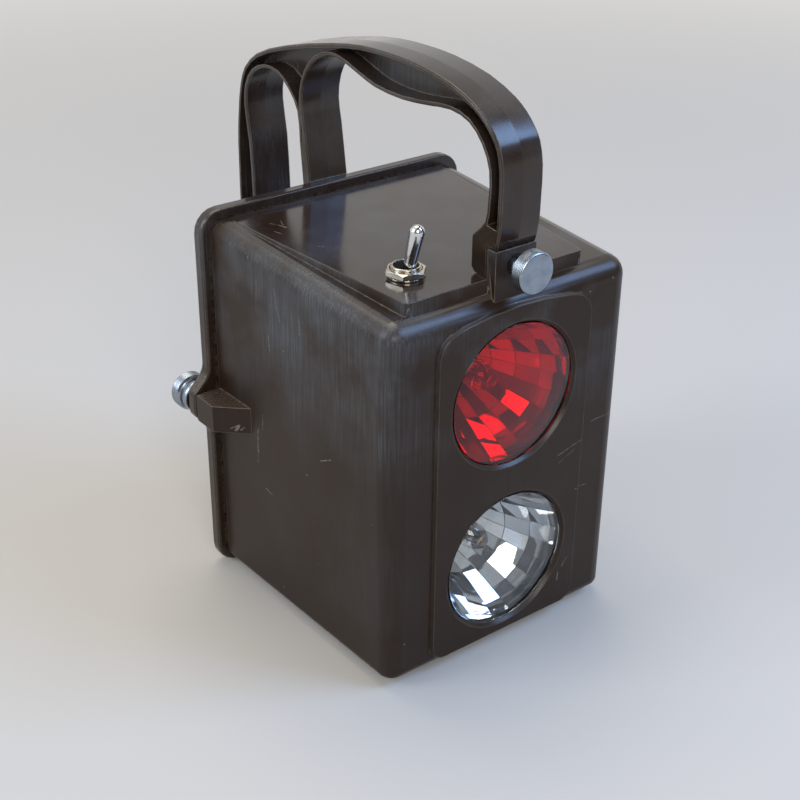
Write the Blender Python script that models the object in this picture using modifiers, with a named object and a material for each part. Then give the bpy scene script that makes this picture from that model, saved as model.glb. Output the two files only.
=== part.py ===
"""Railway signal lantern: a drafted box case with a red and a clear lens, a lid that carries the handle,
three thumb screws, a toggle switch and the battery and lamp fittings inside.

X is the lantern's width, +Y points from the front to the rear and Z is up. Lengths are in metres.
"""
import math

import bmesh
import bpy
from mathutils import Matrix, Vector

MM = 0.001
GAP = 0.3 * MM
HOLE_STEPS = 64
ROUND_STEPS = 32
KNOB_STEPS = 40
SMALL_STEPS = 20
LENS_STEPS = 48
CURVE_STEPS = 2

# Case shell: a box with draft, narrower and lower at the front, open at the rear
CASE_FRONT_WIDTH = 118.0 * MM
CASE_REAR_WIDTH = 125.4 * MM
CASE_FRONT_HEIGHT = 155.4 * MM
ROOF_RISE = 5.6 * MM
CASE_DEPTH = 114.9 * MM
WALL = 3.0 * MM
EDGE_RADIUS = 7.5 * MM
BOTTOM_EDGE_RADIUS = 4.0 * MM

# Raised panel round the two lenses, with an arched top
PANEL_PROUD = 1.6 * MM
PANEL_WIDTH = 76.6 * MM
PANEL_TOP_MARGIN = 3.8 * MM
PANEL_ARCH = 5.4 * MM
PANEL_FOOT = 2.4 * MM
PANEL_TOP_CORNER = 11.0 * MM
PANEL_FOOT_CORNER = 7.0 * MM
PANEL_EDGE = 0.7 * MM

# Lens openings and what they hold
LENS_HOLE_RADIUS = 30.0 * MM
CLEAR_LENS_HEIGHT = 37.7 * MM
RED_LENS_DROP = 42.1 * MM
HOLE_CHAMFER = 0.8 * MM
LENS_LEDGE = 2.7 * MM
LENS_LIP = 1.9 * MM
LENS_THICKNESS = 3.0 * MM
GASKET_THICKNESS = 0.8 * MM
COLLAR_WALL = 2.4 * MM

# Reflectors: faceted parabolic bowls
REFLECTOR_SECTORS = 22
REFLECTOR_FOCUS = 9.5 * MM
REFLECTOR_RINGS = (29.3 * MM, 28.0 * MM, 22.8 * MM, 17.4 * MM, 12.3 * MM, 8.0 * MM)
REFLECTOR_SHEET = 1.2 * MM
REFLECTOR_RIM = 1.0 * MM
NECK_BORE = 6.3 * MM
NECK_LENGTH = 6.0 * MM

# Clamp plate that holds the reflectors against the front wall
CLAMP_SHEET = 1.2 * MM
CLAMP_LEDGE = 1.8 * MM
CLAMP_MARGIN = 3.0 * MM
CLAMP_CORNER = 6.0 * MM
BOSS_RADIUS = 4.0 * MM
BOSS_INSET = 6.5 * MM
SCREW_RADIUS = 1.4 * MM
SCREW_HEAD_RADIUS = 2.8 * MM
SCREW_HEAD_HEIGHT = 1.8 * MM
SCREW_LENGTH = 4.0 * MM

# Bulbs and their holders
BULB_RADIUS = 5.0 * MM
BULB_LENGTH = 16.0 * MM
BULB_SHOULDER = 4.0 * MM
BULB_STEM_RADIUS = 3.6 * MM
BULB_BEHIND_FOCUS = 5.5 * MM
CAP_RADIUS = 4.6 * MM
CAP_LENGTH = 9.5 * MM
CAP_CUP = 1.6 * MM
CAP_RIDGE = 0.35 * MM
CAP_RIDGES = 4
CAP_TIP_RADIUS = 1.6 * MM
HOLDER_WALL = 1.6 * MM
HOLDER_GRIP = 3.0 * MM
STRIP_WIDTH = 6.0 * MM
STRIP_SHEET = 0.6 * MM
STRIP_END = 4.0 * MM

# Plateau on the roof, level with the roof's rear edge
PLATEAU_FRONT = 8.2 * MM
PLATEAU_LEFT = 47.0 * MM
PLATEAU_RIGHT = 38.6 * MM
PLATEAU_REAR_HALF = 54.5 * MM
PLATEAU_CORNER = 3.0 * MM
PLATEAU_EDGE = 0.5 * MM

# Upstand in front of the plateau, which the front thumb screw goes through
UPSTAND_FRONT = 3.9 * MM
UPSTAND_HEIGHT = 12.0 * MM
HANDLE_WIDTH = 19.5 * MM

# Lugs on the case's sides for the two rear thumb screws
LUG_REACH = 73.9 * MM
LUG_HEIGHT = 12.0 * MM
LUG_LENGTH = 12.5 * MM
LUG_RAMP = 11.0 * MM
LUG_EDGE = 0.6 * MM
LUG_MARGIN = 5.6 * MM

# Moulded feet under the front of the case
FOOT_WIDTH = 18.0 * MM
FOOT_DEPTH = 11.0 * MM
FOOT_SETBACK = 10.0 * MM
FOOT_SPREAD = 76.0 * MM

# Lid plate with its seal and the spigot that enters the case
FLANGE_PROUD = 3.9 * MM
LID_THICKNESS = 6.0 * MM
LID_CORNER = 10.0 * MM
LID_EDGE = 1.2 * MM
SEAL_THICKNESS = 0.9 * MM
SEAL_INSET = 0.4 * MM
SPIGOT_DEPTH = 5.0 * MM
SPIGOT_WALL = 2.0 * MM
SPIGOT_CLEARANCE = 0.4 * MM
EAR_NOSE = 5.8 * MM
EAR_FLARE = 13.0 * MM
EAR_HOLLOW_RADIUS = 9.0 * MM
SPINE_DEPTH = 5.0 * MM
SPINE_FOOT = 9.0 * MM

# Handle: an I-section with thin flanges round a thin web, and the hook behind the lid
FLANGE_SHEET = 1.7 * MM
WEB_SHEET = 3.0 * MM
HANDLE_EDGE = 0.6 * MM
SADDLE_LENGTH = 9.0 * MM
SADDLE_HEIGHT = 16.5 * MM
SADDLE_CHAMFER = 2.0 * MM
HANDLE_RISE = 70.2 * MM
DRAWN_SPAN = 120.1 * MM
HOOK_REACH = 57.5 * MM
HOOK_DROP = 46.0 * MM
HOOK_THICKNESS = 13.0 * MM

# Thumb screws and the threaded inserts that take them
KNOB_RADIUS = 8.2 * MM
KNOB_LENGTH = 6.1 * MM
KNOB_CHAMFER = 0.8 * MM
SHOULDER_RADIUS = 7.0 * MM
FRONT_SHOULDER = 5.5 * MM
SIDE_SHOULDER = 4.2 * MM
SHANK_RADIUS = 2.2 * MM
SHANK_CLEARANCE = 0.35 * MM
SCREW_REACH = 7.0 * MM
FRONT_SCREW_HEIGHT = 5.4 * MM
INSERT_RADIUS = 3.5 * MM
INSERT_LENGTH = 7.6 * MM

# Toggle switch
SWITCH_X = -31.6 * MM
SWITCH_Y = 28.7 * MM
BUSHING_RADIUS = 6.0 * MM
BUSHING_STAND = 4.6 * MM
BUSHING_MOUTH = 5.0 * MM
NUT_ACROSS_FLATS = 14.0 * MM
NUT_THICKNESS = 2.2 * MM
NUT_TURN = math.radians(15)
WASHER_RADIUS = 8.2 * MM
WASHER_THICKNESS = 0.6 * MM
BACK_NUT_THICKNESS = 2.0 * MM
SWITCH_BODY = (16.0 * MM, 29.0 * MM, 17.0 * MM)
LEVER_PIVOT_DEPTH = 3.0 * MM
LEVER_LENGTH = 26.0 * MM
LEVER_TIP_RADIUS = 2.9 * MM
LEVER_NECK_RADIUS = 2.2 * MM
LEVER_BALL_RADIUS = 3.3 * MM
LEVER_TAIL = 5.0 * MM
LEVER_TAIL_RADIUS = 1.2 * MM
LEVER_TILT = math.radians(16)
TAG_WIDTH = 2.4 * MM
TAG_SHEET = 0.8 * MM
TAG_LENGTH = 6.0 * MM
TAG_PITCH = 9.0 * MM

# Battery: a square six volt lantern battery with two spring terminals
BATTERY_SIDE = 67.0 * MM
BATTERY_HEIGHT = 102.0 * MM
BATTERY_CORNER = 5.0 * MM
TERMINAL_HEIGHT = 11.0 * MM
TERMINAL_RADIUS = 6.5 * MM
TERMINAL_TOP_RADIUS = 3.5 * MM
TERMINAL_WIRE = 0.7 * MM
TERMINAL_TURNS = 4
TERMINAL_OFFSET = 20.0 * MM
PAD_THICKNESS = 1.6 * MM
PAD_WIDTH = 44.0 * MM
PAD_HEIGHT = 80.0 * MM
STOP_SHEET = 2.0 * MM
STOP_HEIGHT = 8.0 * MM
RAIL_SHEET = 3.0 * MM
RAIL_HEIGHT = 2.7 * MM
RAIL_SPREAD = 44.0 * MM

# Terminal board, which slides between ribs on the side walls
BOARD_SHEET = 2.0 * MM
BOARD_HALF_WIDTH = 54.0 * MM
RIB_SHEET = 2.0 * MM
RIB_GRIP = 4.0 * MM
CONTACT_SIDE = 16.0 * MM
CONTACT_SHEET = 0.6 * MM

# Wires
WIRE_RADIUS = 0.9 * MM

# Places worked out from the sizes
CASE_REAR_HEIGHT = CASE_FRONT_HEIGHT + ROOF_RISE
SIDE_SCREW_X = LUG_REACH - LUG_MARGIN
CASE_BOTTOM = FLANGE_PROUD
CASE_RIM = PANEL_PROUD + CASE_DEPTH
ROOF_FRONT = CASE_BOTTOM + CASE_FRONT_HEIGHT
PLATEAU = CASE_BOTTOM + CASE_REAR_HEIGHT
FLOOR = CASE_BOTTOM + WALL
INNER_FRONT = PANEL_PROUD + WALL
LID_FRONT = CASE_RIM + GAP + SEAL_THICKNESS + GAP
LID_BACK = LID_FRONT + LID_THICKNESS
LID_HALF = CASE_REAR_WIDTH / 2 + FLANGE_PROUD
LID_TOP = PLATEAU + FLANGE_PROUD
SPIGOT_FRONT = LID_FRONT - SPIGOT_DEPTH
SIDE_SCREW_Z = CASE_BOTTOM + CASE_REAR_HEIGHT / 2
FRONT_SCREW_Z = PLATEAU + FRONT_SCREW_HEIGHT
CLEAR_LENS_Z = CASE_BOTTOM + CLEAR_LENS_HEIGHT
RED_LENS_Z = ROOF_FRONT - RED_LENS_DROP
LENS_SEAT_RADIUS = LENS_HOLE_RADIUS + LENS_LEDGE
LENS_RADIUS = LENS_SEAT_RADIUS - GAP
GASKET_FRONT = LENS_LIP + GAP
LENS_FRONT = GASKET_FRONT + GASKET_THICKNESS + GAP
REFLECTOR_FRONT = LENS_FRONT + LENS_THICKNESS + GAP
CLAMP_FRONT = REFLECTOR_FRONT + REFLECTOR_RIM + GAP
CLAMP_BACK = CLAMP_FRONT + CLAMP_SHEET
COLLAR_BACK = CLAMP_FRONT - GAP
COLLAR_RADIUS = LENS_SEAT_RADIUS + COLLAR_WALL
BOWL_DEPTH = REFLECTOR_RINGS[0] ** 2 / (4 * REFLECTOR_FOCUS)
NECK_START = BOWL_DEPTH - REFLECTOR_RINGS[-1] ** 2 / (4 * REFLECTOR_FOCUS)
NECK_END = NECK_START + NECK_LENGTH
NECK_RADIUS = NECK_BORE + REFLECTOR_SHEET
FOCUS_Y = REFLECTOR_FRONT + BOWL_DEPTH - REFLECTOR_FOCUS
BULB_FRONT = FOCUS_Y - BULB_BEHIND_FOCUS
CAP_FRONT = BULB_FRONT + BULB_LENGTH - CAP_CUP + GAP
CAP_BACK = CAP_FRONT + CAP_LENGTH
HOLDER_FRONT = REFLECTOR_FRONT + NECK_END - HOLDER_GRIP
HOLDER_LENGTH = CAP_BACK - HOLDER_FRONT
STRIP_FRONT = CAP_BACK + GAP
HANDLE_HALF = HANDLE_WIDTH / 2
UPSTAND_BACK = PLATEAU_FRONT + PLATEAU_EDGE
SADDLE_FRONT = UPSTAND_BACK + GAP
SADDLE_BACK = SADDLE_FRONT + SADDLE_LENGTH
UPSTAND_TOP = PLATEAU + UPSTAND_HEIGHT
PAD_FRONT = LID_FRONT - GAP - PAD_THICKNESS
BATTERY_BACK = PAD_FRONT - GAP
BATTERY_FRONT = BATTERY_BACK - BATTERY_SIDE
BATTERY_BOTTOM = FLOOR + RAIL_HEIGHT + GAP
BATTERY_TOP = BATTERY_BOTTOM + BATTERY_HEIGHT
TERMINAL_BOTTOM = BATTERY_TOP + GAP
CONTACT_BOTTOM = TERMINAL_BOTTOM + TERMINAL_HEIGHT + GAP
BOARD_BOTTOM = CONTACT_BOTTOM + CONTACT_SHEET + GAP
BOARD_TOP = BOARD_BOTTOM + BOARD_SHEET
BOARD_FRONT = BATTERY_FRONT
BOARD_BACK = SPIGOT_FRONT - 2 * GAP
SWITCH_ROOF = PLATEAU - WALL
SWITCH_BODY_TOP = SWITCH_ROOF - GAP - BACK_NUT_THICKNESS - GAP
SWITCH_BODY_BOTTOM = SWITCH_BODY_TOP - SWITCH_BODY[2]
BUSHING_BOTTOM = SWITCH_BODY_TOP + GAP
BUSHING_TOP = PLATEAU + BUSHING_STAND
LEVER_PIVOT = PLATEAU - LEVER_PIVOT_DEPTH
HOOK_BACK = LID_BACK + HOOK_REACH
HOOK_TIP = PLATEAU - HOOK_DROP
KNOB_FACE = UPSTAND_FRONT - GAP - FRONT_SHOULDER - KNOB_LENGTH
MIDDLE_Y = (KNOB_FACE + HOOK_BACK) / 2

# Turns that lay an outline or a round piece, drawn flat or upright, along another direction
FACING_FRONT = (math.radians(90), 0, 0)
FACING_SIDE = (math.radians(90), 0, math.radians(90))
TO_REAR = (math.radians(-90), 0, 0)
TO_FRONT = (math.radians(90), 0, 0)


def clear_scene():
    for old in list(bpy.data.objects):
        bpy.data.objects.remove(old, do_unlink=True)


def new_collection(name):
    collection = bpy.data.collections.new(name)
    bpy.context.scene.collection.children.link(collection)
    return collection


def new_material(name, colour, roughness, metallic=0.0, transmission=0.0):
    material = bpy.data.materials.new(name)
    material.use_nodes = True
    shader = material.node_tree.nodes["Principled BSDF"]
    shader.inputs["Base Color"].default_value = (*colour, 1.0)
    shader.inputs["Roughness"].default_value = roughness
    shader.inputs["Metallic"].default_value = metallic
    shader.inputs["Transmission Weight"].default_value = transmission
    material.diffuse_color = (*colour, 1.0)
    return material


clear_scene()
PARTS = new_collection("railway_signal_lantern")
CUTTERS = new_collection("lantern_cutters")
ROOT = bpy.data.objects.new("lantern_frame", None)
ROOT.location.y = -MIDDLE_Y
PARTS.objects.link(ROOT)

BROWN_PLASTIC = ((0.030, 0.023, 0.019), 0.35)
BLACK_RUBBER = ((0.012, 0.012, 0.012), 0.75)
BLACK_PLASTIC = ((0.02, 0.02, 0.02), 0.45)
ALUMINIUM = ((0.70, 0.70, 0.69), 0.3, 1.0)
BRASS = ((0.72, 0.50, 0.22), 0.3, 1.0)
NICKEL = ((0.66, 0.62, 0.56), 0.25, 1.0)
CHROME = ((0.78, 0.78, 0.78), 0.08, 1.0)
SILVER = ((0.92, 0.92, 0.92), 0.05, 1.0)
CLEAR_GLASS = ((1.0, 1.0, 1.0), 0.02, 0.0, 1.0)
RED_GLASS = ((0.75, 0.01, 0.02), 0.02, 0.0, 1.0)
ZINC = ((0.55, 0.56, 0.58), 0.4, 1.0)


# Outlines

def rounded(corners, steps=5):
    """An outline whose corners, given as (x, y, radius), are rounded with arcs."""
    outline = []
    for index, (x, y, radius) in enumerate(corners):
        corner = Vector((x, y))
        if radius == 0:
            outline.append((x, y))
            continue
        before = (Vector(corners[index - 1][:2]) - corner).normalized()
        after = (Vector(corners[(index + 1) % len(corners)][:2]) - corner).normalized()
        half = before.angle(after) / 2
        centre = corner + (before + after).normalized() * radius / math.sin(half)
        first = corner + before * radius / math.tan(half) - centre
        last = corner + after * radius / math.tan(half) - centre
        sweep = first.angle_signed(last)
        for step in range(steps + 1):
            spoke = Matrix.Rotation(-sweep * step / steps, 2) @ first
            outline.append(tuple(centre + spoke))
    return outline


def upright_frame(half_width, bottom, top, top_radius, bottom_radius):
    """A rounded rectangle, symmetric about the lantern's middle."""
    return rounded([(-half_width, bottom, bottom_radius), (half_width, bottom, bottom_radius),
                    (half_width, top, top_radius), (-half_width, top, top_radius)])


def rim_outline(inset):
    """The case's rear outline, drawn in by a distance."""
    return upright_frame(CASE_REAR_WIDTH / 2 - inset, CASE_BOTTOM + inset, PLATEAU - inset,
                         EDGE_RADIUS - inset, BOTTOM_EDGE_RADIUS - min(inset, BOTTOM_EDGE_RADIUS / 2))


def circle(radius, x=0.0, y=0.0, steps=HOLE_STEPS):
    return [(x + radius * math.cos(math.tau * step / steps), y + radius * math.sin(math.tau * step / steps))
            for step in range(steps)]


def smooth_through(points, steps):
    """A centripetal Catmull-Rom curve through points, as a list of Vectors."""
    points = [Vector(point) for point in points]
    points = [2 * points[0] - points[1], *points, 2 * points[-1] - points[-2]]
    curve = []
    for p0, p1, p2, p3 in zip(points, points[1:], points[2:], points[3:]):
        t1 = (p1 - p0).length ** 0.5
        t2 = t1 + (p2 - p1).length ** 0.5
        t3 = t2 + (p3 - p2).length ** 0.5
        for step in range(steps):
            t = t1 + (t2 - t1) * step / steps
            a1 = p0.lerp(p1, t / t1)
            a2 = p1.lerp(p2, (t - t1) / (t2 - t1))
            a3 = p2.lerp(p3, (t - t2) / (t3 - t2))
            b1 = a1.lerp(a2, t / t2)
            b2 = a2.lerp(a3, (t - t1) / (t3 - t1))
            curve.append(b1.lerp(b2, (t - t1) / (t2 - t1)))
    curve.append(points[-2])
    return curve


def drawn_in(line, distance):
    """A line moved sideways, to the right of its direction, by a distance."""
    moved = []
    for index, point in enumerate(line):
        ahead = line[min(index + 1, len(line) - 1)]
        behind = line[max(index - 1, 0)]
        along = (ahead - behind).normalized()
        moved.append(point + Vector((along.y, -along.x)) * distance)
    return moved


# Meshes

def curve_mesh(curve):
    """The mesh of a curve, with its caps welded to its sides."""
    holder = bpy.data.objects.new(curve.name, curve)
    bpy.context.scene.collection.objects.link(holder)
    graph = bpy.context.evaluated_depsgraph_get()
    mesh = bpy.data.meshes.new_from_object(holder.evaluated_get(graph))
    bpy.data.objects.remove(holder)
    bpy.data.curves.remove(curve)
    bm = bmesh.new()
    bm.from_mesh(mesh)
    bmesh.ops.remove_doubles(bm, verts=bm.verts, dist=0.01 * MM)
    bmesh.ops.recalc_face_normals(bm, faces=bm.faces)
    bm.to_mesh(mesh)
    bm.free()
    mesh.materials.clear()
    return mesh


def add_loop(curve, points, cyclic):
    spline = curve.splines.new("POLY")
    spline.points.add(len(points) - 1)
    for target, point in zip(spline.points, points):
        target.co = (*point, 1.0) if len(point) == 3 else (*point, 0.0, 1.0)
    spline.use_cyclic_u = cyclic


def plate(name, outline, thickness, edge=0.0, holes=(), edge_steps=0):
    """A flat outline with a thickness, centred on its plane."""
    curve = bpy.data.curves.new(name, "CURVE")
    curve.dimensions = "2D"
    curve.fill_mode = "BOTH"
    curve.extrude = thickness / 2 - edge
    curve.bevel_depth = edge
    curve.bevel_resolution = edge_steps
    curve.offset = -edge
    for loop in (outline, *holes):
        add_loop(curve, loop, True)
    mesh = curve_mesh(curve)
    mesh.shade_smooth()
    mesh.set_sharp_from_angle(angle=math.radians(35))
    return mesh


def bent_rods(name, routes, radius):
    """Round wire along one or more routes."""
    curve = bpy.data.curves.new(name, "CURVE")
    curve.dimensions = "3D"
    curve.bevel_depth = radius
    curve.bevel_resolution = 2
    curve.use_fill_caps = True
    for route in routes:
        add_loop(curve, route, False)
    mesh = curve_mesh(curve)
    mesh.shade_smooth()
    return mesh


def block(name, low, high):
    """A box between two opposite corners."""
    bm = bmesh.new()
    bmesh.ops.create_cube(bm, size=1.0)
    low = Vector(low)
    high = Vector(high)
    bmesh.ops.scale(bm, vec=high - low, verts=bm.verts)
    bmesh.ops.translate(bm, vec=(high + low) / 2, verts=bm.verts)
    mesh = bpy.data.meshes.new(name)
    bm.to_mesh(mesh)
    bm.free()
    return mesh


def rod(name, radius, length, segments=ROUND_STEPS):
    """A cylinder that stands on its own origin."""
    bm = bmesh.new()
    bmesh.ops.create_cone(bm, cap_ends=True, segments=segments, radius1=radius, radius2=radius, depth=length)
    bmesh.ops.translate(bm, vec=(0, 0, length / 2), verts=bm.verts)
    mesh = bpy.data.meshes.new(name)
    bm.to_mesh(mesh)
    bm.free()
    mesh.shade_smooth()
    mesh.set_sharp_from_angle(angle=math.radians(35))
    return mesh


def profile_mesh(name, profile, closed):
    """A profile of (radius, height) points that runs down its outer side, ready for a Screw modifier."""
    mesh = bpy.data.meshes.new(name)
    points = [(radius, 0.0, height) for radius, height in profile]
    edges = [(index, index + 1) for index in range(len(points) - 1)]
    if closed:
        edges.append((len(points) - 1, 0))
    mesh.from_pydata(points, edges, [])
    return mesh


# Objects

def place(piece, collection, location, turn):
    piece.location = location
    piece.rotation_euler = turn
    piece.parent = ROOT
    collection.objects.link(piece)
    return piece


def add_piece(name, mesh, finish, location=(0, 0, 0), turn=(0, 0, 0)):
    """A finished sub-part in the lantern's own frame."""
    piece = bpy.data.objects.new(name, mesh)
    mesh.materials.append(new_material(name, *finish))
    return place(piece, PARTS, location, turn)


def add_tool(name, mesh, location=(0, 0, 0), turn=(0, 0, 0)):
    """A shape that is cut from a piece or joined to it."""
    tool = bpy.data.objects.new(name, mesh)
    tool.hide_render = True
    tool.display_type = "WIRE"
    return place(tool, CUTTERS, location, turn)


def spin(piece, steps=ROUND_STEPS, smooth=True):
    """Turn a profile about its own upright axis."""
    step = piece.modifiers.new("turn", "SCREW")
    step.axis = "Z"
    step.steps = steps
    step.render_steps = steps
    step.use_merge_vertices = True
    step.merge_threshold = 0.01 * MM
    step.use_smooth_shade = smooth
    return piece


def turned_piece(name, profile, finish, location, turn, steps=ROUND_STEPS, closed=True, smooth=True):
    return spin(add_piece(name, profile_mesh(name, profile, closed), finish, location, turn), steps, smooth)


def turned_tool(name, profile, location, turn, steps=ROUND_STEPS, closed=True):
    return spin(add_tool(name, profile_mesh(name, profile, closed), location, turn), steps)


def boolean(piece, tool, operation):
    step = piece.modifiers.new(tool.name, "BOOLEAN")
    step.operation = operation
    step.solver = "EXACT"
    step.object = tool


def cut(piece, *tools):
    for tool in tools:
        boolean(piece, tool, "DIFFERENCE")


def join(piece, *tools):
    for tool in tools:
        boolean(piece, tool, "UNION")


def bevel(piece, width, segments=2, limit="ANGLE"):
    step = piece.modifiers.new("edge", "BEVEL")
    step.width = width
    step.segments = segments
    step.limit_method = limit
    step.angle_limit = math.radians(35)


# The case

def case_half_width(y):
    """Half the case's outer width at a distance from its front."""
    share = (y - PANEL_PROUD) / CASE_DEPTH
    return (CASE_FRONT_WIDTH + (CASE_REAR_WIDTH - CASE_FRONT_WIDTH) * share) / 2


def roof_height(y):
    """The height of the sloping roof at a distance from the front."""
    return ROOF_FRONT + (PLATEAU - ROOF_FRONT) * (y - PANEL_PROUD) / CASE_DEPTH


def drafted_box():
    """The case's outer skin, open at the rear, with the edges that the Bevel modifier rounds weighted."""
    bm = bmesh.new()
    bmesh.ops.create_cube(bm, size=2.0)
    weight = bm.edges.layers.float.new("bevel_weight_edge")
    for edge in bm.edges:
        ends = [vert.co for vert in edge.verts]
        at_rear = all(end.y > 0 for end in ends)
        at_bottom = all(end.z < 0 for end in ends)
        edge[weight] = 0.0 if at_rear else BOTTOM_EDGE_RADIUS / EDGE_RADIUS if at_bottom else 1.0
    rear_faces = [face for face in bm.faces if face.normal.y > 0.5]
    for vert in bm.verts:
        rear = vert.co.y > 0
        top = vert.co.z > 0
        half = (CASE_REAR_WIDTH if rear else CASE_FRONT_WIDTH) / 2
        height = CASE_REAR_HEIGHT if rear else CASE_FRONT_HEIGHT
        vert.co.x *= half
        vert.co.y = CASE_RIM if rear else PANEL_PROUD
        vert.co.z = CASE_BOTTOM + (height if top else 0.0)
    bmesh.ops.delete(bm, geom=rear_faces, context="FACES_ONLY")
    mesh = bpy.data.meshes.new("case")
    bm.to_mesh(mesh)
    bm.free()
    return mesh


def panel_tool():
    """The raised panel: upright sides and an arched top."""
    half = PANEL_WIDTH / 2
    crown = ROOF_FRONT - PANEL_TOP_MARGIN
    foot = CASE_BOTTOM + PANEL_FOOT
    shares = (-1, -2 / 3, -1 / 3, 0, 1 / 3, 2 / 3, 1)
    arch = [(share * half, crown - PANEL_ARCH * share ** 2, PANEL_TOP_CORNER if abs(share) == 1 else 0)
            for share in shares]
    outline = rounded([(half, foot, PANEL_FOOT_CORNER), (-half, foot, PANEL_FOOT_CORNER), *arch])
    depth = INNER_FRONT - WALL / 4
    return add_tool("panel", plate("panel", outline, depth, PANEL_EDGE), (0, depth / 2, 0), FACING_FRONT)


def plateau_outline(inset):
    rear = CASE_RIM - WALL
    front = PLATEAU_FRONT + inset
    return rounded([(-PLATEAU_LEFT + inset, front, PLATEAU_CORNER), (PLATEAU_RIGHT - inset, front, PLATEAU_CORNER),
                    (PLATEAU_REAR_HALF - inset, rear, 0), (-PLATEAU_REAR_HALF + inset, rear, 0)])


def plateau_tools():
    """The level plateau on the sloping roof, and the hollow beneath it that keeps the wall even."""
    low = ROOF_FRONT - WALL
    height = PLATEAU - low
    plateau = add_tool("plateau", plate("plateau", plateau_outline(0), height, PLATEAU_EDGE),
                       (0, 0, low + height / 2))
    hollow_height = SWITCH_ROOF - low + WALL
    hollow = add_tool("plateau_hollow", plate("plateau_hollow", plateau_outline(WALL), hollow_height),
                      (0, 0, SWITCH_ROOF - hollow_height / 2))
    return plateau, hollow


def roof_clearance_tool():
    """The space under the sloping roof, cleared of the plateau's block."""
    floor = ROOF_FRONT - 2 * WALL
    rear = CASE_RIM + WALL
    side_view = [(INNER_FRONT, floor), (rear, floor), (rear, roof_height(rear) - WALL + GAP / 3),
                 (INNER_FRONT, roof_height(INNER_FRONT) - WALL + GAP / 3)]
    return add_tool("roof_clearance", plate("roof_clearance", side_view, 2 * PLATEAU_REAR_HALF + GAP), (0, 0, 0),
                    FACING_SIDE)


def upstand_tool():
    low = (-HANDLE_HALF, UPSTAND_FRONT, ROOF_FRONT - EDGE_RADIUS + WALL / 2)
    high = (HANDLE_HALF, UPSTAND_BACK, UPSTAND_TOP)
    return add_tool("upstand", block("upstand", low, high))


def lug_tool(side):
    """A side lug with a ramp towards the front."""
    wall_middle = case_half_width(CASE_RIM) - WALL / 2
    ramp_start = CASE_RIM - LUG_LENGTH - LUG_RAMP
    outline = [(case_half_width(ramp_start) - WALL / 2, ramp_start), (case_half_width(ramp_start), ramp_start),
               (LUG_REACH, CASE_RIM - LUG_LENGTH), (LUG_REACH, CASE_RIM), (wall_middle, CASE_RIM)]
    mirrored = [(side * x, y) for x, y in outline]
    name = "left_lug" if side < 0 else "right_lug"
    return add_tool(name, plate(name, mirrored, LUG_HEIGHT), (0, 0, SIDE_SCREW_Z))


def foot_tool(side):
    name = "left_foot" if side < 0 else "right_foot"
    x = side * FOOT_SPREAD / 2
    low = (x - FOOT_WIDTH / 2, PANEL_PROUD + FOOT_SETBACK, 0)
    high = (x + FOOT_WIDTH / 2, PANEL_PROUD + FOOT_SETBACK + FOOT_DEPTH, CASE_BOTTOM + WALL / 2)
    return add_tool(name, block(name, low, high))


def boss_places():
    """Where the clamp plate's four screws go, as (x, z)."""
    x = CASE_FRONT_WIDTH / 2 - WALL - BOSS_INSET
    low = FLOOR + BOSS_INSET
    high = ROOF_FRONT - WALL - BOSS_INSET
    return [(-x, low), (x, low), (-x, high), (x, high)]


def rib_tool(side, bottom, name):
    """A rib along a side wall that carries the terminal board."""
    inner = BOARD_HALF_WIDTH - RIB_GRIP
    outline = [(inner, BOARD_FRONT), (case_half_width(BOARD_FRONT) - WALL / 2, BOARD_FRONT),
               (case_half_width(BOARD_BACK) - WALL / 2, BOARD_BACK), (inner, BOARD_BACK)]
    mirrored = [(side * x, y) for x, y in outline]
    return add_tool(name, plate(name, mirrored, RIB_SHEET), (0, 0, bottom + RIB_SHEET / 2))


def lens_hole_tool(name, z):
    """The chamfered opening and the wider seat behind its lip."""
    profile = [(0, COLLAR_BACK + WALL), (LENS_SEAT_RADIUS, COLLAR_BACK + WALL), (LENS_SEAT_RADIUS, LENS_LIP),
               (LENS_HOLE_RADIUS, LENS_LIP), (LENS_HOLE_RADIUS, HOLE_CHAMFER),
               (LENS_HOLE_RADIUS + 2 * HOLE_CHAMFER, -HOLE_CHAMFER), (0, -HOLE_CHAMFER)]
    return turned_tool(name, profile, (0, 0, z), TO_REAR, HOLE_STEPS, closed=False)


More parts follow.
